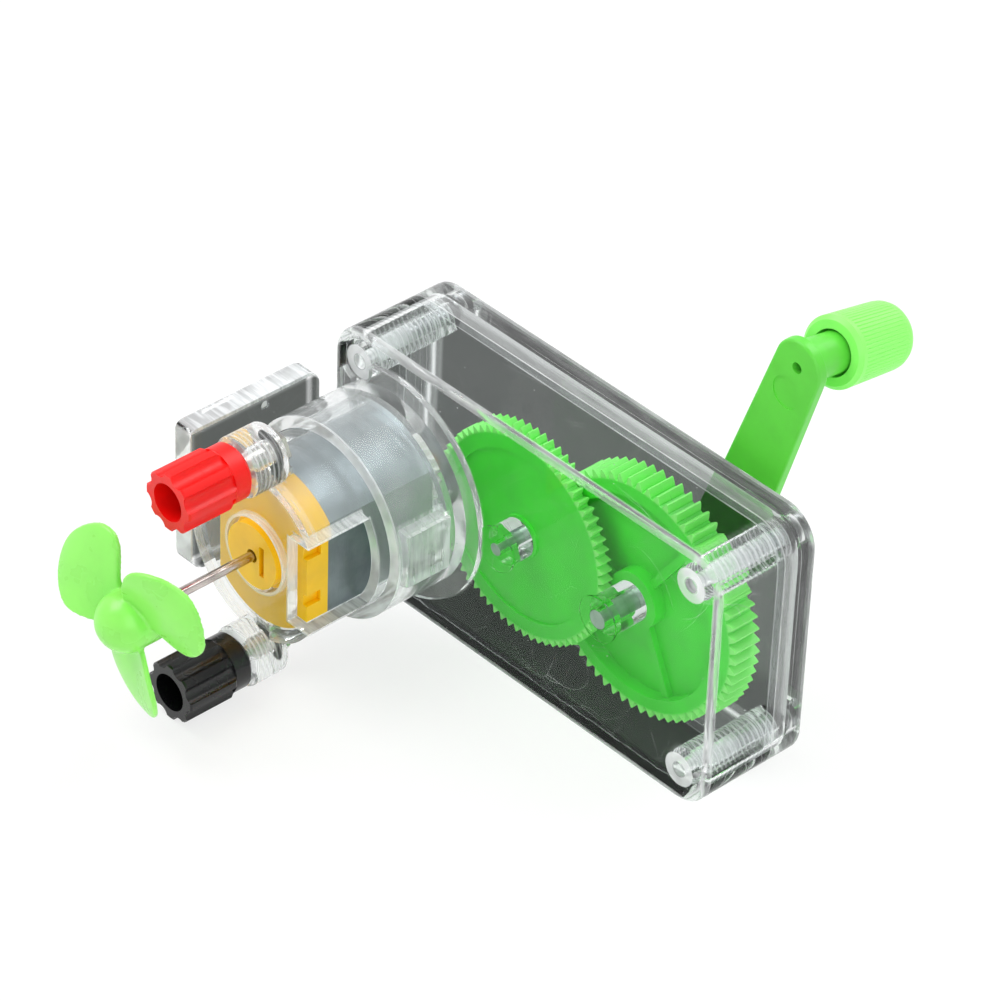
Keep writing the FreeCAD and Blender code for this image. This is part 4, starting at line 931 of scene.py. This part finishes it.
@dataclass
class Motor(Assembly):
    """The toy motor: can, end cap and everything in them."""

    def build(self) -> None:
        """Dress the motor's pieces."""
        self.finish(Metal("can_steel", srgb(140, 150, 154), 0.42, Lay.DRAWN, 0.84), "motor_can")
        self.finish(Moulded("yellow_plastic", srgb(250, 194, 6), 0.9, 0.34, 0.15), "motor_end_cap")
        self.finish(Metal("bronze", srgb(176, 132, 84), 0.4, Lay.TURNED), "motor_bearings")
        self.finish(Sintered("ferrite", srgb(58, 57, 60)), "motor_magnets")
        self.finish(Metal("copper", srgb(206, 128, 92), 0.3), "motor_brushes", "commutator")
        self.finish(Metal("brass", srgb(214, 182, 108), 0.3, Lay.LENGTHWISE), "motor_tabs")
        self.finish(Metal("motor_shaft_steel", srgb(214, 202, 198), 0.18, Lay.LENGTHWISE),
                    "motor_shaft")
        plates = Stacked("core_steel", srgb(150, 152, 156), srgb(50, 50, 54), 0.5, ALONG_SHAFT,
                         1.0, 0.4)
        self.finish(plates, "armature_core")
        wire = Stacked("copper_wire", srgb(190, 98, 50), srgb(60, 22, 10), 0.35, ALONG_SHAFT,
                       0.7, 0.28)
        self.finish(wire, "armature_windings")


@dataclass
class MotorHolder(Assembly):
    """The clear cap over the motor and its two binding posts."""

    x: float = -25.8
    axis_z: float = 21.9
    face: float = -37.1
    skin: Range = (12.1, 14.3)
    ring: Range = (5.6, 6.5)
    lug: tuple[Range, Range, Range] = ((-13.9, -9.5), (-21.9, -13.3), (17.1, 26.7))
    window_x: Range = (-18.5, -11.0)
    window_z: Range = (14.0, 29.8)
    window_back: float = -25.3
    post_offset: float = 17.1
    post: Range = (1.0, 5.2)
    post_y: Range = (-41.0, -33.8)

    def build(self) -> None:
        """Dress the holder, the contacts and the posts."""
        front = self.face - 0.3
        low, high = self.window_z
        # The holder's face, rings, lug, window edges and posts get a painted pale glare, standing
        # in for light in the clear plastic.
        glare_parts: list[Zone] = [
            Tube(self.x, self.axis_z, (6.4, self.skin[1]), (front, self.face + 0.15), 0.2, 0.05),
            Tube(self.x, self.axis_z, self.ring, (front, self.face + 2.2), 0.2, 0.6),
            Tube(self.x, self.axis_z, (13.4, self.skin[1]), (front, self.face + 2.4), 0.25, 0.3),
            Tube(self.x, self.axis_z, self.skin, (front, -12.4), 0.3, 0.09),
            Block(*self.lug, 0.3, 0.4),
            Block((-18.7, -18.1), (front, self.face + 2.2), self.window_z, 0.15, 0.5),
            Block(self.window_x, (front, self.window_back), (high - 0.5, high), 0.12, 0.55),
            Block(self.window_x, (front, self.window_back), (low, low + 0.5), 0.12, 0.55),
            Block(self.window_x, (self.window_back - 0.5, self.window_back), self.window_z,
                  0.12, 0.45),
        ]
        for z in (self.axis_z - self.post_offset, self.axis_z + self.post_offset):
            glare_parts.append(Tube(self.x, z, self.post, self.post_y, 0.3, 0.42, 0.8))
        self.finish(Clear("clear_holder", ripple=0.03, ripple_size=4.0, dust=0.3,
                          painted_glare=tuple(glare_parts)), "motor_holder")
        plated = Metal("plated_brass", srgb(206, 204, 198), 0.22, Lay.TURNED, 0.8)
        self.finish(plated, "terminal_contacts", "terminal_nuts", "terminal_studs")
        self.finish(Moulded("red_plastic", srgb(248, 8, 4), 0.9, 0.4, 0.1), "red_post_cap")
        self.finish(Moulded("black_plastic", srgb(15, 15, 17), 0.7, 0.24, 0.0), "black_post_cap")


@dataclass
class Propeller(Assembly):
    """The three-bladed propeller, with the soft rounded edges of a moulded one."""

    voxel: float = 0.16
    rounds: int = 24

    def build(self) -> None:
        """Make the soft-edged propeller."""
        piece = copied(self.frame["nodes"]["propeller"], "soft_propeller")
        applied(piece, "REMESH", mode="VOXEL", voxel_size=self.voxel * MM, use_smooth_shade=True)
        applied(piece, "SMOOTH", factor=0.5, iterations=self.rounds)
        dress(piece, Moulded("propeller_green", srgb(148, 242, 102), 0.94, 0.3, 0.12,
                             marks=0.03).material())
        self.stand_for(piece, "propeller", "rotor", "propeller_green")


@dataclass
class Crank(Assembly):
    """The crank arm with its knob and its screw."""

    def build(self) -> None:
        """Dress the crank's pieces."""
        self.finish(Moulded("arm_green", srgb(98, 216, 66), 0.92, 0.36, 0.12), "crank_arm")
        self.finish(Moulded("knob_green", srgb(146, 255, 112), 0.96, 0.42, 0.15), "crank_knob")
        self.finish(Metal("hub_steel", srgb(180, 182, 184), 0.25, Lay.TURNED),
                    "hub_screw", "hub_washer")


# ---- studio -------------------------------------------------------------------------------------
@dataclass
class Lamp:
    """A soft square lamp that looks at the object."""

    name: str
    place: tuple[float, float, float]
    size: float
    power: float

    def build(self, target: Vector) -> None:
        """Add the lamp.

        Args:
            target: the point that it looks at.
        """
        data = bpy.data.lights.new(self.name, "AREA")
        data.shape = "SQUARE"
        data.size = self.size
        data.energy = self.power
        lamp = bpy.data.objects.new(self.name, data)
        lamp.location = self.place
        lamp.rotation_euler = (target - lamp.location).to_track_quat("-Z", "Y").to_euler()
        bpy.context.scene.collection.objects.link(lamp)


@dataclass
class Studio:
    """A white floor, a soft dome of light and three large lamps."""

    floor_size: float = 30.0
    floor_drop: float = 0.05
    floor_share: float = 0.75
    dome: float = 0.48
    lamps: tuple[Lamp, ...] = (
        Lamp("key", (-0.55, -0.35, 0.95), 0.7, 7.4),
        Lamp("fill", (0.9, -0.4, 0.65), 0.8, 4.6),
        Lamp("rim", (0.05, 0.75, 0.85), 0.7, 6.0),
    )

    def floor(self) -> None:
        """Add the floor, white where it is seen, with a soft shadow of the object."""
        deselect()
        bpy.ops.mesh.primitive_plane_add(size=self.floor_size,
                                         location=mm(0.0, 0.0, -self.floor_drop))
        plane = bpy.context.object
        plane.name = "floor"
        settle(plane)
        graph, material = Graph.of_material("floor_white")
        matt = graph.add("BsdfDiffuse", Color=srgb(250, 250, 250))
        light = graph.add("Emission", Color=(1.0, 1.0, 1.0, 1.0), Strength=1.0)
        mixed = graph.add("MixShader")
        graph.feed(mixed.inputs[0], graph.math("MULTIPLY", graph.seen(), self.floor_share))
        graph.feed(mixed.inputs[1], matt.outputs[0])
        graph.feed(mixed.inputs[2], light.outputs[0])
        graph.surface(mixed.outputs[0])
        dress(plane, material)

    def sky(self) -> None:
        """Fill the world: white near the horizon where it is seen, and a soft dome of light."""
        world = bpy.data.worlds.new("studio")
        bpy.context.scene.world = world
        world.use_nodes = True
        graph = Graph(world.node_tree)
        up = graph.axes(graph.add("TexCoord").outputs["Generated"])
        dome = graph.ramp(up[2], -0.2, 1.0, 0.62, 1.15)
        side = graph.ramp(up[0], -1.0, 1.0, 1.15, 0.75)
        light = graph.product(dome, side, self.dome)
        view = graph.ramp(up[2], 0.3, 0.6, 1.0, 0.55)
        strength = graph.add("Mix", {"data_type": "FLOAT"})
        graph.feed(strength.inputs[0], graph.seen())
        graph.feed(strength.inputs[2], light)
        graph.feed(strength.inputs[3], view)
        shine = graph.add("Background", Color=(1.0, 1.0, 1.0, 1.0), Strength=strength.outputs[0])
        output = graph.add("OutputWorld")
        graph.feed(output.inputs["Surface"], shine.outputs[0])

    def build(self) -> None:
        """Add the floor, the sky and the lamps."""
        self.floor()
        self.sky()
        for lamp in self.lamps:
            lamp.build(mm(0.0, 0.0, 22.0))
        LOG.info("studio ready with %d lamps", len(self.lamps))


@dataclass
class Viewpoint:
    """The camera, set by its direction from the middle of the gearbox."""

    azimuth: float = 45.272
    elevation: float = 37.442
    roll: float = 2.732
    distance: float = 750.0
    lens: float = 186.71
    centre: tuple[float, float, float] = (0.0, 0.0, 21.9)
    aim_right: float = -9.464
    aim_up: float = 5.203

    def build(self) -> bpy.types.Object:
        """Add the camera.

        Returns:
            The camera's object.
        """
        turn, tilt, roll = (math.radians(v) for v in (self.azimuth, self.elevation, self.roll))
        back = Vector((math.sin(turn) * math.cos(tilt), -math.cos(turn) * math.cos(tilt),
                       math.sin(tilt)))
        right = Vector((math.cos(turn), math.sin(turn), 0.0))
        up = back.cross(right)
        right_rolled = right * math.cos(roll) + up * math.sin(roll)
        up_rolled = up * math.cos(roll) - right * math.sin(roll)
        centre = mm(*self.centre)
        place = centre + back * self.distance * MM
        aim = centre + right_rolled * self.aim_right * MM + up_rolled * self.aim_up * MM
        z_axis = (place - aim).normalized()
        x_axis = up_rolled.cross(z_axis).normalized()
        y_axis = z_axis.cross(x_axis)
        data = bpy.data.cameras.new("camera")
        data.lens = self.lens
        data.sensor_width = 36.0
        data.clip_start = 0.01
        data.clip_end = 60.0
        camera = bpy.data.objects.new("camera", data)
        turned = Matrix((x_axis, y_axis, z_axis)).transposed().to_4x4()
        camera.matrix_world = Matrix.Translation(place) @ turned
        bpy.context.scene.collection.objects.link(camera)
        bpy.context.scene.camera = camera
        LOG.info("camera at %s", tuple(round(v, 3) for v in place))
        return camera


def main() -> None:
    """Load the frame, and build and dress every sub-assembly."""
    logging.basicConfig(level=logging.INFO, format="%(name)s: %(message)s")
    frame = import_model()
    scene = bpy.context.scene
    scene.view_settings.view_transform = "Standard"
    scene.cycles.max_bounces = LIGHT_STEPS
    scene.cycles.transmission_bounces = LIGHT_STEPS
    scene.cycles.transparent_max_bounces = LIGHT_STEPS
    Viewpoint().build()
    Studio().build()
    for kind in (Gearbox, GearTrain, Motor, MotorHolder, Propeller, Crank):
        kind(frame).build()


if __name__ == "__main__":
    main()
